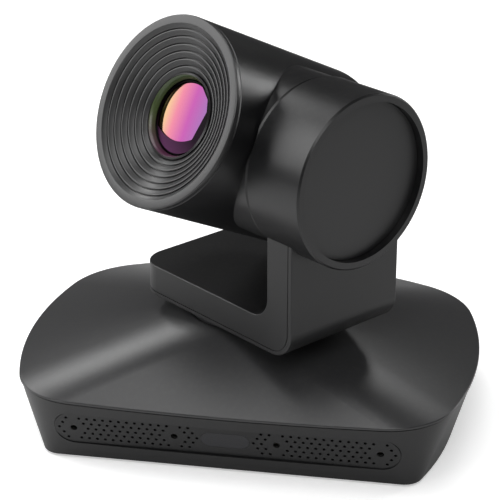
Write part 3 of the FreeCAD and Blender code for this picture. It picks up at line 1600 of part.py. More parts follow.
def hood_profile():
    """Flat rim, then equal conical steps down to the lens opening, a slot and land between."""
    steps = int(size.hood_steps)
    pause = "(hood_slot + hood_land)"
    run = f"(hood_inner - lens_opening - (hood_steps - 1) * {pause}) / hood_steps"
    fall = "hood_depth / hood_steps"
    face = [("barrel_radius - ring_chamfer", "barrel_front"), ("hood_inner", "barrel_front")]
    for i in range(1, steps):
        foot = f"hood_inner - {run} * {i} - {pause} * {i - 1}"
        level = f"barrel_front - {fall} * {i}"
        face.append((foot, level))
        face.append((foot, f"{level} - slot_depth"))
        face.append((f"{foot} - hood_slot", f"{level} - slot_depth"))
        face.append((f"{foot} - hood_slot", level))
        face.append((f"{foot} - {pause}", level))
    back = [
        ("lens_opening", "barrel_front - hood_depth"),
        ("lens_opening", "barrel_front - hood_depth - hood_gauge"),
        ("tube_outer + 0.2", "barrel_front - hood_depth - hood_gauge"),
        ("hood_inner - hood_gauge", "barrel_front - hood_gauge - 3.4"),
        ("hood_radius - hood_gauge", "barrel_front - hood_seat"),
        ("hood_radius", "barrel_front - hood_seat"),
        ("hood_radius", "barrel_front - hood_ring"),
        ("barrel_radius", "barrel_front - hood_ring"),
        ("barrel_radius", "barrel_front - ring_chamfer"),
    ]
    return face + back


lathe("front_hood", hood_profile(), lens_axis)

tube_front = "barrel_front - hood_depth - hood_gauge"
glass_face = f"{tube_front} - 0.4"
lathe(
    "lens_tube",
    [
        ("tube_inner", "-tube_back"),
        ("tube_outer", "-tube_back"),
        ("tube_outer", tube_front),
        ("glass_radius + 0.1", tube_front),
        ("glass_radius + 0.1", f"{tube_front} - glass_edge - 0.4"),
        ("ring_inner - 1.2", f"{tube_front} - glass_edge - 0.4"),
        ("ring_inner - 1.2", f"{tube_front} - glass_edge - 2.4"),
        ("tube_inner", f"{tube_front} - glass_edge - 2.4"),
    ],
    lens_axis,
)
lathe(
    "lens_retaining_ring",
    [
        ("ring_inner", tube_front),
        ("lens_opening - seat_gap", tube_front),
        ("lens_opening - seat_gap", f"{tube_front} + hood_gauge + 0.6"),
        ("lens_opening - seat_gap - 0.8", f"{tube_front} + hood_gauge + 1"),
        ("ring_inner + 0.5", f"{tube_front} + 0.9"),
    ],
    lens_axis,
)


def dome(name, radius, edge_low, edge_high, rise, frame):
    """A lens with a flat back and a front that is part of a sphere."""
    low, high = value(edge_low), value(edge_high)
    bulge = value(rise)
    reach = value(radius)
    curve = (reach**2 + bulge**2) / (2 * bulge)
    body = Part.makeCylinder(reach, high - low + bulge, Vector(0, 0, low))
    ball = Part.makeSphere(curve, Vector(0, 0, high + bulge - curve))
    return keep(name, shaped(name, body.common(ball)), frame)


dome(
    "front_lens",
    "glass_radius - 0.9",
    f"{glass_face} - glass_edge",
    glass_face,
    "glass_dome",
    lens_axis,
)
ring(
    "camera_chassis",
    "tube_outer",
    f"{barrel_inner} - seat_gap",
    f"{tube_front} - 6",
    f"{tube_front} - 3.5",
    lens_axis,
)
rod_low = -size.tube_back + size.seat_gap
rod_length = f"{value(tube_front) - size.glass_edge - 2.6 - rod_low}"
rods = [
    disc(f"rod_{i}", "rod_radius", rod_length, shift(0, side * size.rod_place, rod_low))
    for i, side in enumerate((-1, 1))
]
keep("guide_rods", group("guide_rods", rods), lens_axis)


def lens_group(name, place):
    """A lens carrier that slides on the two rods, and the glass that it holds."""
    low = f"{place} - group_width / 2"
    high = f"{place} + group_width / 2"
    carrier = lathe(
        name + "_carrier_ring",
        [
            ("group_glass - 1", low),
            ("group_radius", low),
            ("group_radius", high),
            ("group_glass", high),
            ("group_glass", f"{place} - group_width / 2 + 1.5"),
            ("group_glass - 1", f"{place} - group_width / 2 + 1.5"),
        ],
    )
    ears = []
    holes = []
    for side in (-1, 1):
        start = shift(-3, side * size.rod_place - 3, value(low))
        ears.append(block(f"{name}_ear_{side + 1}", "6", "6", "3", start))
        holes.append(
            disc(
                f"{name}_eye_{side + 1}",
                "rod_radius + running_gap",
                "group_width + 2",
                shift(0, side * size.rod_place, value(low) - 1),
            )
        )
    limit = disc(f"{name}_limit", "tube_inner - 0.5", "group_width", shift(0, 0, value(low)))
    body = common(name, fused(name, carrier, *ears), limit)
    bore = disc(f"{name}_bore", "group_glass", "group_width", shift(0, 0, value(low) + 1.5))
    eye = disc(f"{name}_light", "group_glass - 1", "group_width", shift(0, 0, value(low) - 1))
    keep(name + "_carrier", cut(name + "_carrier", body, bore, eye, *holes), lens_axis)
    dome(
        name + "_lens",
        "group_glass - 0.1",
        f"{place} - group_width / 2 + 1.6",
        f"{place} - group_width / 2 + 4",
        "2.5",
        lens_axis,
    )


lens_group("zoom_group", "zoom_place")
lens_group("focus_group", "focus_place")

padded(
    "sensor_board",
    rectangle("-sensor_board / 2", "sensor_board / 2", "-sensor_board / 2", "sensor_board / 2"),
    "board_gauge",
    lens_axis.multiply(lift(-size.tube_back - size.board_gauge)),
)
sensor = block("sensor_chip", "12", "9", "1.5", lens_axis.multiply(shift(-6, -4.5, -size.tube_back)))
keep("image_sensor", sensor)

# ---------------------------------------------------------------------------------------------
# Check every object and write the pieces
# ---------------------------------------------------------------------------------------------

doc.recompute()
failed = [thing.Label for thing in doc.Objects if {"Invalid", "Error"} & set(thing.State)]
if failed:
    raise RuntimeError(f"these objects failed: {failed}")

os.makedirs("parts", exist_ok=True)
for label, thing in nodes.items():
    shape = thing.Shape
    if shape.isNull() or not shape.isValid() or not shape.Solids:
        raise RuntimeError(f"{label} has no sound shape")
    shape.exportStep(os.path.join("parts", label + ".step"))
    print(f"{label}: {len(shape.Solids)} solid(s), {shape.Volume:.0f} mm3")
print(f"{len(nodes)} nodes, tilt axis {tilt_height:.1f} mm above the base")
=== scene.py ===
# %% [markdown]
# # Finishing a pan-tilt-zoom camera
#
# The camera comes in as a finished mechanical model: every shell, gear, bearing and screw is
# already a mesh of its own, in metres, standing where it belongs. This lesson adds what a
# mechanical model lacks: moulded grain and satin, a coated lens behind a black baffle of painted
# shade with a painted reflection in its ring, finely rounded steps in the hood, and a small studio
# to see it all in.
#
# The model's own box is kept from here, and its lowest point sets the floor.

# %% Load the frame
import json
import math

import bmesh
import bpy
import numpy as np
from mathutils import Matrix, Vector


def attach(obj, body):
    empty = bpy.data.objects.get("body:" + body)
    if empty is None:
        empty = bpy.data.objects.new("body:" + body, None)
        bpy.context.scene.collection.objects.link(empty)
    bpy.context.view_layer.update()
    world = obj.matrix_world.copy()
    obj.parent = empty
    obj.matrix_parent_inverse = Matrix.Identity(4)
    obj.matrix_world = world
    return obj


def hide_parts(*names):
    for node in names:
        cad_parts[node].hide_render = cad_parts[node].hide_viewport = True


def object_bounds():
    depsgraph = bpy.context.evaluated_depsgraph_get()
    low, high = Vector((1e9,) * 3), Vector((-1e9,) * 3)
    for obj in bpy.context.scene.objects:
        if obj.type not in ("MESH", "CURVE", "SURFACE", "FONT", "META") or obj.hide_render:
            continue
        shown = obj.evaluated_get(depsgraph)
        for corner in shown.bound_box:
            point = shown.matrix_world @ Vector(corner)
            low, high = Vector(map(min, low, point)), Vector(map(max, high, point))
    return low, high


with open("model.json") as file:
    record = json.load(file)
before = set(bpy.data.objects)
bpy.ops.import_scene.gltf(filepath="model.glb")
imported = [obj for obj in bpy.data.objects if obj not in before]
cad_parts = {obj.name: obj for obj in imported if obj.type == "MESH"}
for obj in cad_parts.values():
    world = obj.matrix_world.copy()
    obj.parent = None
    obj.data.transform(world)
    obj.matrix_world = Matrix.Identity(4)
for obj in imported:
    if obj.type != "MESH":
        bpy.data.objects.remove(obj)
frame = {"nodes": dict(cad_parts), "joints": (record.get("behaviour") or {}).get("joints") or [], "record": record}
cad_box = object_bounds()
MM = 0.001

# %% [markdown]
# The head leans and turns, so its parts are easiest to describe along their own axis. The joints
# hold that axis: the zoom slide runs along the line of sight, and the tilt hinge lies across it.
# A frame here is two directions square to the axis, the axis itself, and an origin.

# %% Axis of the head
joints = {joint["name"]: joint for joint in frame["joints"]}


def axis_frame(origin, axis, beside):
    """Rows are two directions square to the axis, then the axis itself, then the origin."""
    along = np.array(axis, float)
    along /= np.linalg.norm(along)
    first = np.array(beside, float)
    first -= along * (first @ along)
    first /= np.linalg.norm(first)
    return np.array([first, np.cross(along, first), along, np.array(origin, float)])


sight = joints["zoom_travel"]["axis"]
outward = [-part for part in joints["tilt"]["axis"]]
lens_frame = axis_frame(joints["tilt"]["pos_m"], sight, outward)
print("line of sight:", [round(part, 3) for part in sight])

# %% [markdown]
# New pieces must meet the mechanical ones exactly, so their sizes are read from the meshes: how
# far a piece reaches along the axis, and how wide it is round it. Reading them keeps the lesson
# right when the design changes, which numbers typed in here wouldn't.

# %% Reach of a mechanical piece


def span_along(node, axes):
    """How far a mechanical piece reaches along an axis, and its least and greatest radius."""
    mesh = frame["nodes"][node].data
    places = np.empty(len(mesh.vertices) * 3)
    mesh.vertices.foreach_get("co", places)
    local = (places.reshape(-1, 3) - axes[3]) @ axes[:3].T
    radius = np.hypot(local[:, 0], local[:, 1])
    return local[:, 2].min(), local[:, 2].max(), radius.min(), radius.max()


hood_back, hood_front, opening, hood_radius = span_along("front_hood", lens_frame)
glass_radius = span_along("front_lens", lens_frame)[3]
print(f"hood: {hood_front / MM:.1f} mm ahead of the tilt axis, radius {hood_radius / MM:.1f} mm")

# %% [markdown]
# Effects that several finishes share are node groups, so each finish places them with its own
# values. Three helpers keep the wiring short: one makes a group with named sockets, one adds a
# node with its settings, and one adds a Math node between two sockets or numbers.

# %% Helpers for node trees


def new_group(name, inputs, outputs):
    """A shader node group with float or colour sockets, its input and output nodes made."""
    group = bpy.data.node_groups.new(name, "ShaderNodeTree")
    for label, kind, default in inputs:
        socket = group.interface.new_socket(label, in_out="INPUT", socket_type=kind)
        socket.default_value = default
    for label, kind in outputs:
        group.interface.new_socket(label, in_out="OUTPUT", socket_type=kind)
    return group, group.nodes.new("NodeGroupInput"), group.nodes.new("NodeGroupOutput")


def add(tree, kind, **settings):
    """A new node with its properties set."""
    node = tree.nodes.new(kind)
    for key, setting in settings.items():
        setattr(node, key, setting)
    return node


def math_node(tree, operation, first, second):
    """A Math node; each side is a socket or a number."""
    node = add(tree, "ShaderNodeMath", operation=operation)
    for index, side in enumerate((first, second)):
        if isinstance(side, bpy.types.NodeSocket):
            tree.links.new(side, node.inputs[index])
        else:
            node.inputs[index].default_value = side
    return node.outputs[0]


print("node helpers ready")

# %% [markdown]
# The first group is the grain that a spark-eroded mould leaves on plastic. It could be a single
# noise in the bump, but large faces would look dead. So there are two sizes of noise: a sharp
# fine one for the grain, and a coarse one for a slow drift in tone.

# %% Node group: moulded grain
speckle_share = 0.35
grain, grain_in, grain_out = new_group(
    "moulded_grain",
    [
        ("Position", "NodeSocketVector", (0, 0, 0)),
        ("Per metre", "NodeSocketFloat", 2600.0),
        ("Drift", "NodeSocketFloat", 0.12),
    ],
    [("Height", "NodeSocketFloat"), ("Tone", "NodeSocketFloat")],
)
fine = add(grain, "ShaderNodeTexNoise")
fine.inputs["Detail"].default_value = 3.0
fine.inputs["Roughness"].default_value = 0.62
grain.links.new(grain_in.outputs["Position"], fine.inputs["Vector"])
grain.links.new(grain_in.outputs["Per metre"], fine.inputs["Scale"])
slow = add(grain, "ShaderNodeTexNoise")
slow.inputs["Scale"].default_value = 34.0
slow.inputs["Detail"].default_value = 4.0
grain.links.new(grain_in.outputs["Position"], slow.inputs["Vector"])
fine_swing = math_node(grain, "SUBTRACT", fine.outputs[0], 0.5)
speckle = math_node(grain, "MULTIPLY", fine_swing, speckle_share)
slow_swing = math_node(grain, "SUBTRACT", slow.outputs[0], 0.5)
drift = math_node(grain, "MULTIPLY", slow_swing, grain_in.outputs["Drift"])
tone = math_node(grain, "ADD", math_node(grain, "ADD", speckle, drift), 1.0)
grain.links.new(fine.outputs[0], grain_out.inputs["Height"])
grain.links.new(tone, grain_out.inputs["Tone"])
print("grain group:", len(grain.nodes), "nodes")

# %% [markdown]
# Even a new camera gathers a little dust where it faces up, and it shows on black plastic. It
# could be painted by hand, but the rule is simple enough for nodes: how much the surface faces
# the sky, times a patchy noise. The group puts out that mask.

# %% Node group: settled dust
dust, dust_in, dust_out = new_group(
    "settled_dust",
    [("Position", "NodeSocketVector", (0, 0, 0)), ("Amount", "NodeSocketFloat", 0.1)],
    [("Mask", "NodeSocketFloat")],
)
facing = add(dust, "ShaderNodeNewGeometry")
split = add(dust, "ShaderNodeSeparateXYZ")
dust.links.new(facing.outputs["Normal"], split.inputs[0])
motes = add(dust, "ShaderNodeTexNoise")
motes.inputs["Scale"].default_value = 420.0
motes.inputs["Detail"].default_value = 5.0
dust.links.new(dust_in.outputs["Position"], motes.inputs["Vector"])
skyward = add(dust, "ShaderNodeMapRange")
skyward.inputs["From Min"].default_value = 0.25
skyward.inputs["From Max"].default_value = 1.0
dust.links.new(split.outputs["Z"], skyward.inputs["Value"])
patchy = add(dust, "ShaderNodeMapRange")
patchy.inputs["From Min"].default_value = 0.48
patchy.inputs["From Max"].default_value = 0.72
dust.links.new(motes.outputs[0], patchy.inputs["Value"])
settled = math_node(dust, "MULTIPLY", skyward.outputs[0], patchy.outputs[0])
amount = math_node(dust, "MULTIPLY", settled, dust_in.outputs["Amount"])
dust.links.new(amount, dust_out.inputs["Mask"])
print("dust group:", len(dust.nodes), "nodes")

# %% [markdown]
# A finish is one Principled shader. Every one starts the same way, from the object's own
# coordinates, and scales its colour by the grain's tone, so that start is written once.

# %% Start of a finish


def new_material(name):
    """An empty node material with its Principled shader and the object's coordinates."""
    material = bpy.data.materials.new(name)
    material.use_nodes = True
    tree = material.node_tree
    shader = tree.nodes["Principled BSDF"]
    place = add(tree, "ShaderNodeTexCoord").outputs["Object"]
    return material, tree, shader, place


def toned(tree, colour, factor):
    """The colour with its brightness scaled by a socket."""
    scale = add(tree, "ShaderNodeVectorMath", operation="SCALE")
    scale.inputs[0].default_value = colour
    tree.links.new(factor, scale.inputs["Scale"])
    return scale.outputs[0]


print("a finish starts from object coordinates")

# %% [markdown]
# Most of the camera is moulded plastic. The grain's tone scales the colour and the roughness a
# little, its height feeds a bump of a few hundredths of a millimetre, and dust lightens what
# faces up. Real grain could be displaced geometry, but at this depth only its shading shows.

# %% Moulded plastic
dust_colour = (0.35, 0.34, 0.32, 1.0)
dust_amount = 0.02


def plastic(name, colour, roughness, per_metre=2600.0, depth=0.02, drift=0.12):
    """Moulded plastic: depth is the grain's bump in millimetres."""
    material, tree, shader, place = new_material(name)
    skin = add(tree, "ShaderNodeGroup", node_tree=grain)
    skin.inputs["Per metre"].default_value = per_metre
    skin.inputs["Drift"].default_value = drift
    tree.links.new(place, skin.inputs["Position"])
    motes = add(tree, "ShaderNodeGroup", node_tree=dust)
    motes.inputs["Amount"].default_value = dust_amount
    tree.links.new(place, motes.inputs["Position"])
    mix = add(tree, "ShaderNodeMix", data_type="RGBA")
    tree.links.new(motes.outputs["Mask"], mix.inputs["Factor"])
    tree.links.new(toned(tree, colour, skin.outputs["Tone"]), mix.inputs["A"])
    mix.inputs["B"].default_value = dust_colour
    tree.links.new(mix.outputs["Result"], shader.inputs["Base Color"])
    rough = math_node(tree, "MULTIPLY", skin.outputs["Tone"], roughness)
    tree.links.new(rough, shader.inputs["Roughness"])
    bump = add(tree, "ShaderNodeBump")
    bump.inputs["Strength"].default_value = 0.6
    bump.inputs["Distance"].default_value = depth * MM
    tree.links.new(skin.outputs["Height"], bump.inputs["Height"])
    tree.links.new(bump.outputs["Normal"], shader.inputs["Normal"])
    return material


print("moulded plastic ready")

# %% [markdown]
# Metal, boards and chips are small and mostly inside. They could share one grey, but a zinc can,
# ground steel and turned brass reflect quite differently. Each gets its own colour and polish,
# both varied by the grain's tone, and no bump.

# %% Metal, boards and chips


def plain(name, colour, roughness, metallic=0.0, per_metre=700.0, drift=0.2):
    """A metal, board or chip: the grain's tone varies colour and roughness."""
    material, tree, shader, place = new_material(name)
    skin = add(tree, "ShaderNodeGroup", node_tree=grain)
    skin.inputs["Per metre"].default_value = per_metre
    skin.inputs["Drift"].default_value = drift
    tree.links.new(place, skin.inputs["Position"])
    tree.links.new(toned(tree, colour, skin.outputs["Tone"]), shader.inputs["Base Color"])
    rough = math_node(tree, "MULTIPLY", skin.outputs["Tone"], roughness)
    tree.links.new(rough, shader.inputs["Roughness"])
    shader.inputs["Metallic"].default_value = metallic
    return material


print("plain finishes ready")

# %% [markdown]
# The table names a finish for each material slot of the design. The shells are all nearly black,
# and differ in polish and grain: the head is the glossiest, the strip the flattest, and the
# cover a little lighter than the rest, so that it shows the light that runs down it.

# %% Finishes by slot
charcoal = (0.005, 0.005, 0.0055)
finishes = {
    "head_shell": plastic("head_grain", charcoal, 0.34, 2300.0, 0.03),
    "drum_shell": plastic("drum_grain", charcoal, 0.36, 2300.0, 0.03),
    "cap_face": plastic("cap_satin", (0.012, 0.012, 0.0125), 0.42, 3000.0, 0.015),
    "yoke_shell": plastic("yoke_matte", (0.006, 0.006, 0.0065), 0.42, 2800.0, 0.02),
    "yoke_skin": plastic("yoke_cover_matte", (0.007, 0.007, 0.0075), 0.42, 2800.0, 0.02),
    "base_cover": plastic("cover_satin", (0.026, 0.026, 0.027), 0.33, 3200.0, 0.012, 0.08),
    "base_shell": plastic("housing_matte", (0.005, 0.005, 0.0055), 0.42, 2800.0, 0.02),
    "grille": plastic("grille_paint", (0.005, 0.005, 0.0055), 0.48, 3400.0, 0.012),
    "dark_window": plastic("window_gloss", (0.01, 0.01, 0.013), 0.22, 4200.0, 0.002, 0.03),
    "hood": plastic("hood_satin", (0.02, 0.02, 0.0205), 0.33, 3200.0, 0.012, 0.06),
    "lens_ring": plastic("ring_black", (0.006, 0.005, 0.006), 0.3, 2600.0, 0.002, 0.05),
    "tube_black": plastic("flocked_black", (0.006, 0.006, 0.006), 0.9, 5200.0, 0.05),
    "hub_black": plastic("hub_matte", (0.01, 0.01, 0.011), 0.6),
    "rubber": plastic("foot_rubber", (0.018, 0.018, 0.018), 0.75, 1500.0, 0.04),
    "panel_black": plastic("panel_powder", (0.02, 0.02, 0.022), 0.55, 1800.0, 0.04),
    "gear_nylon": plain("acetal", (0.62, 0.6, 0.55), 0.45),
    "nylon": plain("natural_nylon", (0.6, 0.6, 0.56), 0.5),
    "chip_black": plain("moulded_epoxy", (0.02, 0.02, 0.021), 0.5),
    "circuit_board": plain("solder_mask", (0.012, 0.09, 0.045), 0.3),
    "steel_plate": plain("coated_steel", (0.04, 0.04, 0.043), 0.45, 0.6),
    "motor_can": plain("zinc_can", (0.42, 0.42, 0.43), 0.35, 1.0),
    "bearing_steel": plain("ground_steel", (0.6, 0.6, 0.61), 0.18, 1.0),
    "screw_steel": plain("zinc_screws", (0.4, 0.4, 0.41), 0.35, 1.0),
    "socket_metal": plain("nickel_shell", (0.55, 0.54, 0.52), 0.28, 1.0),
    "capsule_metal": plain("capsule_can", (0.5, 0.47, 0.38), 0.35, 1.0),
    "aluminium": plain("bare_aluminium", (0.62, 0.62, 0.64), 0.38, 1.0),
    "brass": plain("turned_brass", (0.62, 0.45, 0.2), 0.3, 1.0),
    "sensor_glass": plain("sensor_cover", (0.05, 0.03, 0.07), 0.08),
}
print(len(finishes), "opaque finishes")

# %% [markdown]
# Glass is kept apart: it transmits, so its Metallic and Transmission stay plain numbers. The
# lens groups inside take it, with a faint green tint like that of thick optical glass.

# %% Clear glass


def glass(name, tint):
    """Clear glass with a slight tint."""
    material = bpy.data.materials.new(name)
    material.use_nodes = True
    shader = material.node_tree.nodes["Principled BSDF"]
    shader.inputs["Base Color"].default_value = (*tint, 1.0)
    shader.inputs["Roughness"].default_value = 0.0
    shader.inputs["IOR"].default_value = 1.5
    shader.inputs["Transmission Weight"].default_value = 1.0
    return material


finishes["inner_glass"] = glass("inner_glass", (0.8, 0.86, 0.84))
finishes["coated_glass"] = finishes["inner_glass"]
print("clear glass ready")

# %% [markdown]
# Each mechanical piece has one slot in the design's record. Its shape stays, and only its
# material is set here.

# %% Finishes on the mechanical pieces
slot_of = {row["node"]: row["material_slot"] for row in frame["record"]["subparts"]}
for node, thing in frame["nodes"].items():
    thing.data.materials.clear()
    thing.data.materials.append(finishes[slot_of[node]])
print("every mechanical piece has its finish")

# %% [markdown]
# New pieces are grids of points, and `sheet_of` turns a grid into a mesh. Its rows and columns
# may close on themselves, as they do on anything turned on a lathe. A row that lies on the axis
# has all its points in one place, so they are merged, and the dome is closed at its pole.

# %% A mesh from a grid


def merge_poles(mesh):
    """Points of a row that lie on the axis become one, so a dome is closed at its middle."""
    soup = bmesh.new()
    soup.from_mesh(mesh)
    bmesh.ops.remove_doubles(soup, verts=soup.verts, dist=1e-7)
    soup.to_mesh(mesh)
    soup.free()


def sheet_of(name, grid, body, finish, wrap_rows=True, smooth=True):
    """A mesh through a grid of points of shape (rows, columns, 3): each cell is a face between
    one row and column and the next. The last column meets the first, and with wrap_rows the
    last row meets the first too."""
    rows, columns = grid.shape[:2]
    order = np.arange(rows * columns).reshape(rows, columns)
    if wrap_rows:
        order = np.vstack([order, order[:1]])
    order = np.hstack([order, order[:, :1]])
    quads = np.stack([order[:-1, :-1], order[1:, :-1], order[1:, 1:], order[:-1, 1:]], -1)
    quads = quads.reshape(-1, 4)
    mesh = bpy.data.meshes.new(name)
    mesh.from_pydata(grid.reshape(-1, 3).tolist(), [], quads.tolist())
    merge_poles(mesh)
    mesh.polygons.foreach_set("use_smooth", np.full(len(mesh.polygons), smooth))
    thing = bpy.data.objects.new(name, mesh)
    bpy.context.scene.collection.objects.link(thing)
    mesh.materials.append(finishes[finish])
    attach(thing, body)
    return thing


print("grids become meshes")

# %% [markdown]
# Everything round about the line of sight is a section carried round it. A Screw modifier would
# do it too, but the formula is one line and leaves a plain mesh.

# %% A turned piece


def turned(name, profile, axes, body, finish, steps=192, closed=True):
    """Profile points (radius, height) carried round the axis: place = origin + r cos t * first
    + r sin t * second + height * axis. A closed profile is a ring's whole section."""
    profile = np.asarray(profile, float)
    turn = np.linspace(0, 2 * math.pi, steps, endpoint=False)
    radius = profile[:, 0][:, None]
    round_part = np.cos(turn)[None, :, None] * axes[0] + np.sin(turn)[None, :, None] * axes[1]
    grid = axes[3] + radius[..., None] * round_part + profile[:, 1][:, None, None] * axes[2]
    return sheet_of(name, grid, body, finish, wrap_rows=closed)


print("turned pieces ready")

# %% [markdown]
# A moulded corner is never sharp. A Bevel modifier would round every edge of the turned mesh,
# but it is cheaper to round the section once, before it is turned.

# %% Soft corners


def softened(corners, radius, arc=4):
    """A closed profile whose corners become small arcs. Each corner's arc starts and ends a
    little way along its two sides and bends between them as a parabola."""
    corners = np.asarray(corners, float)
    before = np.roll(corners, 1, axis=0) - corners
    after = np.roll(corners, -1, axis=0) - corners
    reach_before = np.linalg.norm(before, axis=1, keepdims=True)
    reach_after = np.linalg.norm(after, axis=1, keepdims=True)
    back = np.minimum(radius, reach_before * 0.45)
    ahead = np.minimum(radius, reach_after * 0.45)
    start = corners + before / reach_before * back
    end = corners + after / reach_after * ahead
    share = np.linspace(0, 1, arc)[None, :, None]
    curve = (
        start[:, None] * (1 - share) ** 2
        + corners[:, None] * 2 * share * (1 - share)
        + end[:, None] * share**2
    )
    return curve.reshape(-1, corners.shape[1])


print("soft corners ready")

# %% [markdown]
# The hood is the face of the camera: a flat rim as wide as the barrel, then seven conical steps
# that lead down to the glass. A narrow slot and a flat land part each step from the next, and
# light that comes in at a slant is caught in the slots and doesn't reach the lens. It could be
# cut from a solid with seven grooves, but a moulded part has a small radius on every corner that
# catches a line of light. So its section is drawn once, softened, and turned about the axis.
# Behind the ring a narrower spigot sits in the barrel, and the seam shows as a fine groove.

# %% The stepped hood
hood_steps = 7
rim_width = 3.9 * MM
land = 0.55 * MM
slot = 0.5 * MM
slot_depth = 0.9 * MM
funnel_depth = 9.7 * MM
ring_height = 2.4 * MM
chamfer = 0.4 * MM
spigot_depth = 6.4 * MM
spigot_radius = hood_radius - 1.8 * MM
wall = 2.0 * MM
corner = 0.13 * MM
rim_inner = hood_radius - rim_width
run = (rim_inner - opening - (hood_steps - 1) * (slot + land)) / hood_steps
stairs = [(hood_radius - chamfer, hood_front), (rim_inner, hood_front)]
for step in range(1, hood_steps):
    foot = rim_inner - run * step - (slot + land) * (step - 1)
    level = hood_front - funnel_depth / hood_steps * step
    stairs += [(foot, level), (foot, level - slot_depth)]
    stairs += [(foot - slot, level - slot_depth), (foot - slot, level), (foot - slot - land, level)]
stairs += [
    (opening, hood_front - funnel_depth),
    (opening, hood_back),
    (opening + 2 * wall, hood_back),
    (rim_inner - wall, hood_front - spigot_depth + MM),
    (spigot_radius - wall, hood_front - spigot_depth),
    (spigot_radius, hood_front - spigot_depth),
    (spigot_radius, hood_front - ring_height),
    (hood_radius, hood_front - ring_height),
    (hood_radius, hood_front - chamfer),
]
section = softened(stairs[::-1], corner)
hood = turned("stepped_hood", section, lens_frame, "head", "hood", 256)
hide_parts("front_hood")
print("hood:", len(hood.data.polygons), "faces in", hood_steps, "steps")

# %% [markdown]
# A lens coating throws back one colour on one side and another on the other, and so do the
# lacquers round it. One helper makes them all: a colour ramp along a direction in the lens's own
# plane, between two distances from the line of sight. It moves with the head, as a coating does.

# %% A finish that changes across the lens


def banded(name, direction, low, high, colours, metallic, roughness):
    """A finish whose colour runs along a direction, from low to high metres off the axis."""
    material, tree, shader, place = new_material(name)
    offset = add(tree, "ShaderNodeVectorMath", operation="SUBTRACT")
    offset.inputs[1].default_value = lens_frame[3]
    tree.links.new(place, offset.inputs[0])
    along = add(tree, "ShaderNodeVectorMath", operation="DOT_PRODUCT")
    along.inputs[1].default_value = direction
    tree.links.new(offset.outputs[0], along.inputs[0])
    spread = add(tree, "ShaderNodeMapRange")
    spread.inputs["From Min"].default_value = low
    spread.inputs["From Max"].default_value = high
    tree.links.new(along.outputs["Value"], spread.inputs["Value"])
    ramp = add(tree, "ShaderNodeValToRGB")
    elements = ramp.color_ramp.elements
    elements[0].position, elements[0].color = colours[0][0], (*colours[0][1], 1)
    elements[1].position, elements[1].color = colours[-1][0], (*colours[-1][1], 1)
    for position, colour in colours[1:-1]:
        elements.new(position).color = (*colour, 1)
    tree.links.new(spread.outputs[0], ramp.inputs["Fac"])
    tree.links.new(ramp.outputs["Color"], shader.inputs["Base Color"])
    shader.inputs["Metallic"].default_value = metallic
    shader.inputs["Roughness"].default_value = roughness
    return material


print("banded finishes ready")

# %% [markdown]
# Behind the hood's opening sits the front element, a shallow dome with a coating that runs from
# amber through pink and magenta to violet. It could be clear glass over a second, coated one,
# but light that reaches a mirror only through glass is slow and grainy to render, and the eye
# sees the coating alone. So the element is one closed dome with a bright coating.

# %% Coated front element
clear_radius = glass_radius - 0.9 * MM
element_drop = 1.3 * MM
element_rise = 0.45 * MM
element_gauge = 1.6 * MM
finishes["coating"] = banded(
    "amber_magenta_coating",
    lens_frame[0],
    -16 * MM,
    13 * MM,
    [
        (0.0, (0.2, 0.21, 0.08)),
        (0.1, (0.24, 0.16, 0.08)),
        (0.35, (0.23, 0.07, 0.1)),
        (0.65, (0.155, 0.031, 0.12)),
        (1.0, (0.1, 0.05, 0.13)),
    ],
    1.0,
    0.06,
)


def dome_profile(radius, edge, rise, points=28):
    """Section of a shallow dome: height is a parabola from the middle down to the edge."""
    across = np.linspace(0, 1, points)
    return np.column_stack([across * radius, edge + rise * (1 - across**2)])


element_edge = hood_back - element_drop
skin = dome_profile(clear_radius, element_edge, element_rise)
element_back = element_edge - element_gauge
back_face = np.array([[clear_radius, element_back], [0.0, element_back]])
section = np.vstack([skin, back_face])
element = turned(
    "coated_element", section, lens_frame, "head", "coating", 128, closed=False
)
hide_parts("front_lens")
print(f"coated element: radius {clear_radius / MM:.1f} mm")

# %% [markdown]
# The bore of the retaining ring shows as a narrow band between its black face and the glass.
# Its colour is a painted reflection of the coating's other colours, olive above and plum below.
# The ring itself could be coloured by height, but then its face would change too. So the bore
# gets a thin sleeve of its own that carries the painted reflection, and it follows the ring's cone
# a few hundredths of a millimetre inside it.

# %% Painted reflection in the retaining ring
# Painted reflection: olive above and plum below stand in for the coating's colours seen in the bore.
finishes["sleeve_painted_reflection"] = banded(
    "sleeve_painted_reflection",
    -lens_frame[1],
    -14 * MM,
    17 * MM,
    [(0.0, (0.045, 0.07, 0.025)), (0.5, (0.06, 0.085, 0.03)), (1.0, (0.06, 0.017, 0.04))],
    0.0,
    0.3,
)
# Each row of the bore is a radius and a height over the hood's back, in millimetres.
bore = np.array([[17.1, -0.5], [17.15, 0.0], [17.6, 0.9], [18.35, 2.75]]) * MM
bore[:, 1] += hood_back
sleeve_gauge = np.array([0.06, 0.0]) * MM
section = np.vstack([bore, bore[::-1] + sleeve_gauge])
# The sleeve carries the painted reflection just inside the ring's bore.
turned("ring_painted_reflection", section, lens_frame, "head", "sleeve_painted_reflection")
print(f"sleeve: {np.ptp(bore[:, 1]) / MM:.1f} mm long")

# %% [markdown]
# Close in front of the coated dome a black sheet is painted shade: it hides the coating wherever
# the lens should look dark. Its opening is bounded by two arcs and four straight sides, so the
# bright reflection has corners.
# The outline could be a curve cut by a boolean, but a polar rule is simpler: in each direction
# from the middle, the nearest side decides how far the opening reaches.

# %% Outline of the black baffle of painted shade
# Arcs are a centre and a radius; sides are an angle in degrees and a distance; all millimetres.
# The opening is where the coated dome shows; outside it the black baffle is painted shade.
baffle_middle = np.array([-2.0, 3.0]) * MM
baffle_arcs = np.array([[-0.4, 0.0, 16.5], [-2.0, 11.5, 22.3]]) * MM
baffle_sides = [(52.0, 15.15), (20.8, 13.9), (-13.2, 11.03), (-61.6, 11.4)]
least_facing = 0.05


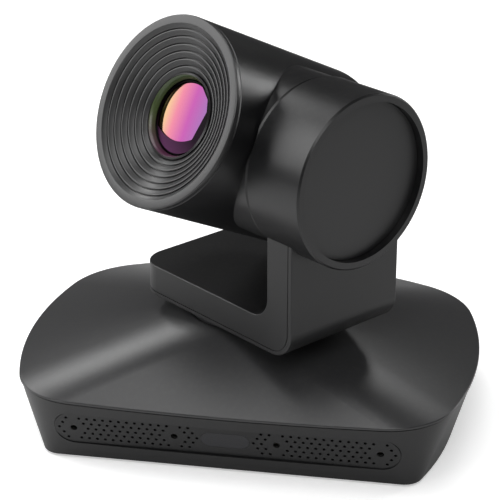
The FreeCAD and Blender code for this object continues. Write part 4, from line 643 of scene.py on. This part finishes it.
def baffle_reach(direction):
    """Distance from the middle to the opening's edge: along each ray, the least of the distances
    to every arc (the far root of the circle's quadratic) and to every straight side (what is
    left of the side's distance, divided by how squarely the ray meets it)."""
    reaches = []
    for centre_u, centre_v, radius in baffle_arcs:
        to_centre = np.array([centre_u, centre_v]) - baffle_middle
        along = direction @ to_centre
        reaches.append(along + np.sqrt(along**2 - to_centre @ to_centre + radius**2))
    for angle, distance in baffle_sides:
        normal = np.array([math.cos(math.radians(angle)), math.sin(math.radians(angle))])
        facing = direction @ normal
        left = distance * MM - baffle_middle @ normal
        reach = left / np.maximum(facing, least_facing)
        reaches.append(np.where(facing > least_facing, reach, 1.0))
    return np.min(reaches, axis=0)


turn = np.linspace(0, 2 * math.pi, 360, endpoint=False)
direction = np.column_stack([np.cos(turn), np.sin(turn)])
mouth = baffle_middle + direction * baffle_reach(direction)[:, None]
print(f"baffle opening: {np.ptp(mouth[:, 0]) / MM:.1f} mm wide")

# %% [markdown]
# The baffle is a thin plate between that outline and a circle. Four loops of points close its
# section: up the opening's wall, across the face, down the outside and back underneath. Its
# colour is painted: black shade to one side, and on the other side plum painted light, where it
# faces the coated dome's light.

# %% Black baffle of painted shade and painted light
# Painted light: plum on the side facing the coated dome, black painted shade elsewhere.
finishes["baffle"] = banded(
    "baffle_painted_light",
    -0.5 * lens_frame[0] - 0.87 * lens_frame[1],
    -14 * MM,
    17 * MM,
    [(0.0, (0.001, 0.001, 0.001)), (0.5, (0.004, 0.001, 0.004)), (1.0, (0.034, 0.009, 0.03))],
    1.0,
    0.3,
)
outside = direction * clear_radius
baffle_gauge = 0.15 * MM
baffle_top = hood_back - 0.6 * MM
baffle_low = baffle_top - baffle_gauge
loops = []
for outline, height in (
    (mouth, baffle_low),
    (mouth, baffle_top),
    (outside, baffle_top),
    (outside, baffle_low),
):
    flat = outline[:, :1] * lens_frame[0] + outline[:, 1:] * lens_frame[1]
    loops.append(lens_frame[3] + flat + lens_frame[2] * height)
# A black sheet of painted shade over the coating, with painted plum light on one side.
sheet_of("painted_shade_baffle", np.array(loops), "head", "baffle", smooth=False)
print(f"field baffle: {baffle_gauge / MM:.2f} mm thick")

# %% [markdown]
# The camera that looks at the object stands in front, a little to the right and above. A long
# lens at 0.84 m keeps the proportions calm, as in a catalogue.

# %% Camera
look_at = Vector((-0.0027, 0.0225, 0.0768))
azimuth, elevation, distance = math.radians(10.02), math.radians(23.39), 0.84
level = math.cos(elevation)
back = Vector((math.sin(azimuth) * level, -math.cos(azimuth) * level, math.sin(elevation)))
camera = bpy.data.objects.new("camera", bpy.data.cameras.new("camera"))
bpy.context.scene.collection.objects.link(camera)
camera.location = look_at + back * distance
camera.rotation_mode = "QUATERNION"
camera.rotation_quaternion = (-back).to_track_quat("-Z", "Y")
camera.data.sensor_width = 36.0
camera.data.lens = 126.3
bpy.context.scene.camera = camera
print("camera", distance, "m away")

# %% [markdown]
# The floor is one pale sheet. Seen directly it also glows a little, so it stays close to white
# and keeps only a soft shadow under the base. The object itself isn't lit by that glow.

# %% Floor
floor_level = cad_box[0].z
span = 3.0
glow_level = 0.42
corners = [(x, y, floor_level) for x in (-span, span) for y in (-span, span)]
floor_mesh = bpy.data.meshes.new("floor")
floor_mesh.from_pydata(corners, [], [(0, 2, 3, 1)])
floor = bpy.data.objects.new("floor", floor_mesh)
bpy.context.scene.collection.objects.link(floor)
paper = plain("pale_paper", (0.9, 0.9, 0.9), 0.9, 0.0, 9000.0, 0.0)
floor_mesh.materials.append(paper)
paper_tree = paper.node_tree
paper_shader = paper_tree.nodes["Principled BSDF"]
seen = add(paper_tree, "ShaderNodeLightPath").outputs["Is Camera Ray"]
glow = toned(paper_tree, (glow_level,) * 3, seen)
paper_tree.links.new(glow, paper_shader.inputs["Emission Color"])
paper_shader.inputs["Emission Strength"].default_value = 1.0
print(f"floor: {2 * span:.0f} m square")

# %% [markdown]
# Soft panels shape the black plastic by what it reflects. The left one shows in the glass and
# lights the hood's rim and the drum, the low left one the left of its steps. The two at the back
# draw the sheens that run down the cover, the one at the side the streak along the barrel, and
# the top and front ones fill in. Their places follow from mirroring the view in each surface.

# %% Light panels
panel_distance = 1.2


def panel(name, direction, size, power):
    """A soft rectangular light that faces the middle of the object."""
    light = bpy.data.lights.new(name, "AREA")
    light.shape = "RECTANGLE"
    light.size, light.size_y = size
    light.energy = power
    thing = bpy.data.objects.new(name, light)
    bpy.context.scene.collection.objects.link(thing)
    way = Vector(direction).normalized()
    thing.location = look_at + way * panel_distance
    thing.rotation_mode = "QUATERNION"
    thing.rotation_quaternion = way.to_track_quat("Z", "Y")
    return thing


panel("left_panel", (-0.86, 0.05, 0.51), (0.85, 0.85), 8.8)
panel("low_left_panel", (-0.6, -0.76, 0.25), (0.4, 0.4), 2.2)
panel("back_left_panel", (-0.53, 0.56, 0.63), (0.34, 0.3), 2.3)
panel("back_right_panel", (0.23, 0.69, 0.68), (0.3, 0.3), 1.2)
panel("side_panel", (0.78, 0.57, 0.27), (0.26, 0.4), 3.2)
panel("top_panel", (-0.08, -0.1, 1.0), (0.75, 0.8), 6.2)
panel("front_panel", (0.2, -0.65, 0.75), (0.6, 0.6), 5.0)

# %% [markdown]
# The surround does two jobs. Seen directly it is pure white, like a paper backdrop. For
# everything else it is nearly dark, so black plastic stays black and only the panels shape it.
# One white surround for both would be simpler, but would wash the shells out to grey.

# %% Surround
backdrop_strength = 1.0
fill_strength = 0.04
world = bpy.data.worlds.new("surround")
bpy.context.scene.world = world
world.use_nodes = True
tree = world.node_tree
sky = tree.nodes["Background"]
sky.inputs["Color"].default_value = (1, 1, 1, 1)
sky.inputs["Strength"].default_value = fill_strength
bright = add(tree, "ShaderNodeBackground")
bright.inputs["Color"].default_value = (1, 1, 1, 1)
bright.inputs["Strength"].default_value = backdrop_strength
path = add(tree, "ShaderNodeLightPath")
choose = add(tree, "ShaderNodeMixShader")
tree.links.new(path.outputs["Is Camera Ray"], choose.inputs["Fac"])
tree.links.new(sky.outputs[0], choose.inputs[1])
tree.links.new(bright.outputs[0], choose.inputs[2])
tree.links.new(choose.outputs[0], tree.nodes["World Output"].inputs["Surface"])
bpy.context.scene.view_settings.view_transform = "Standard"
print("surround ready")
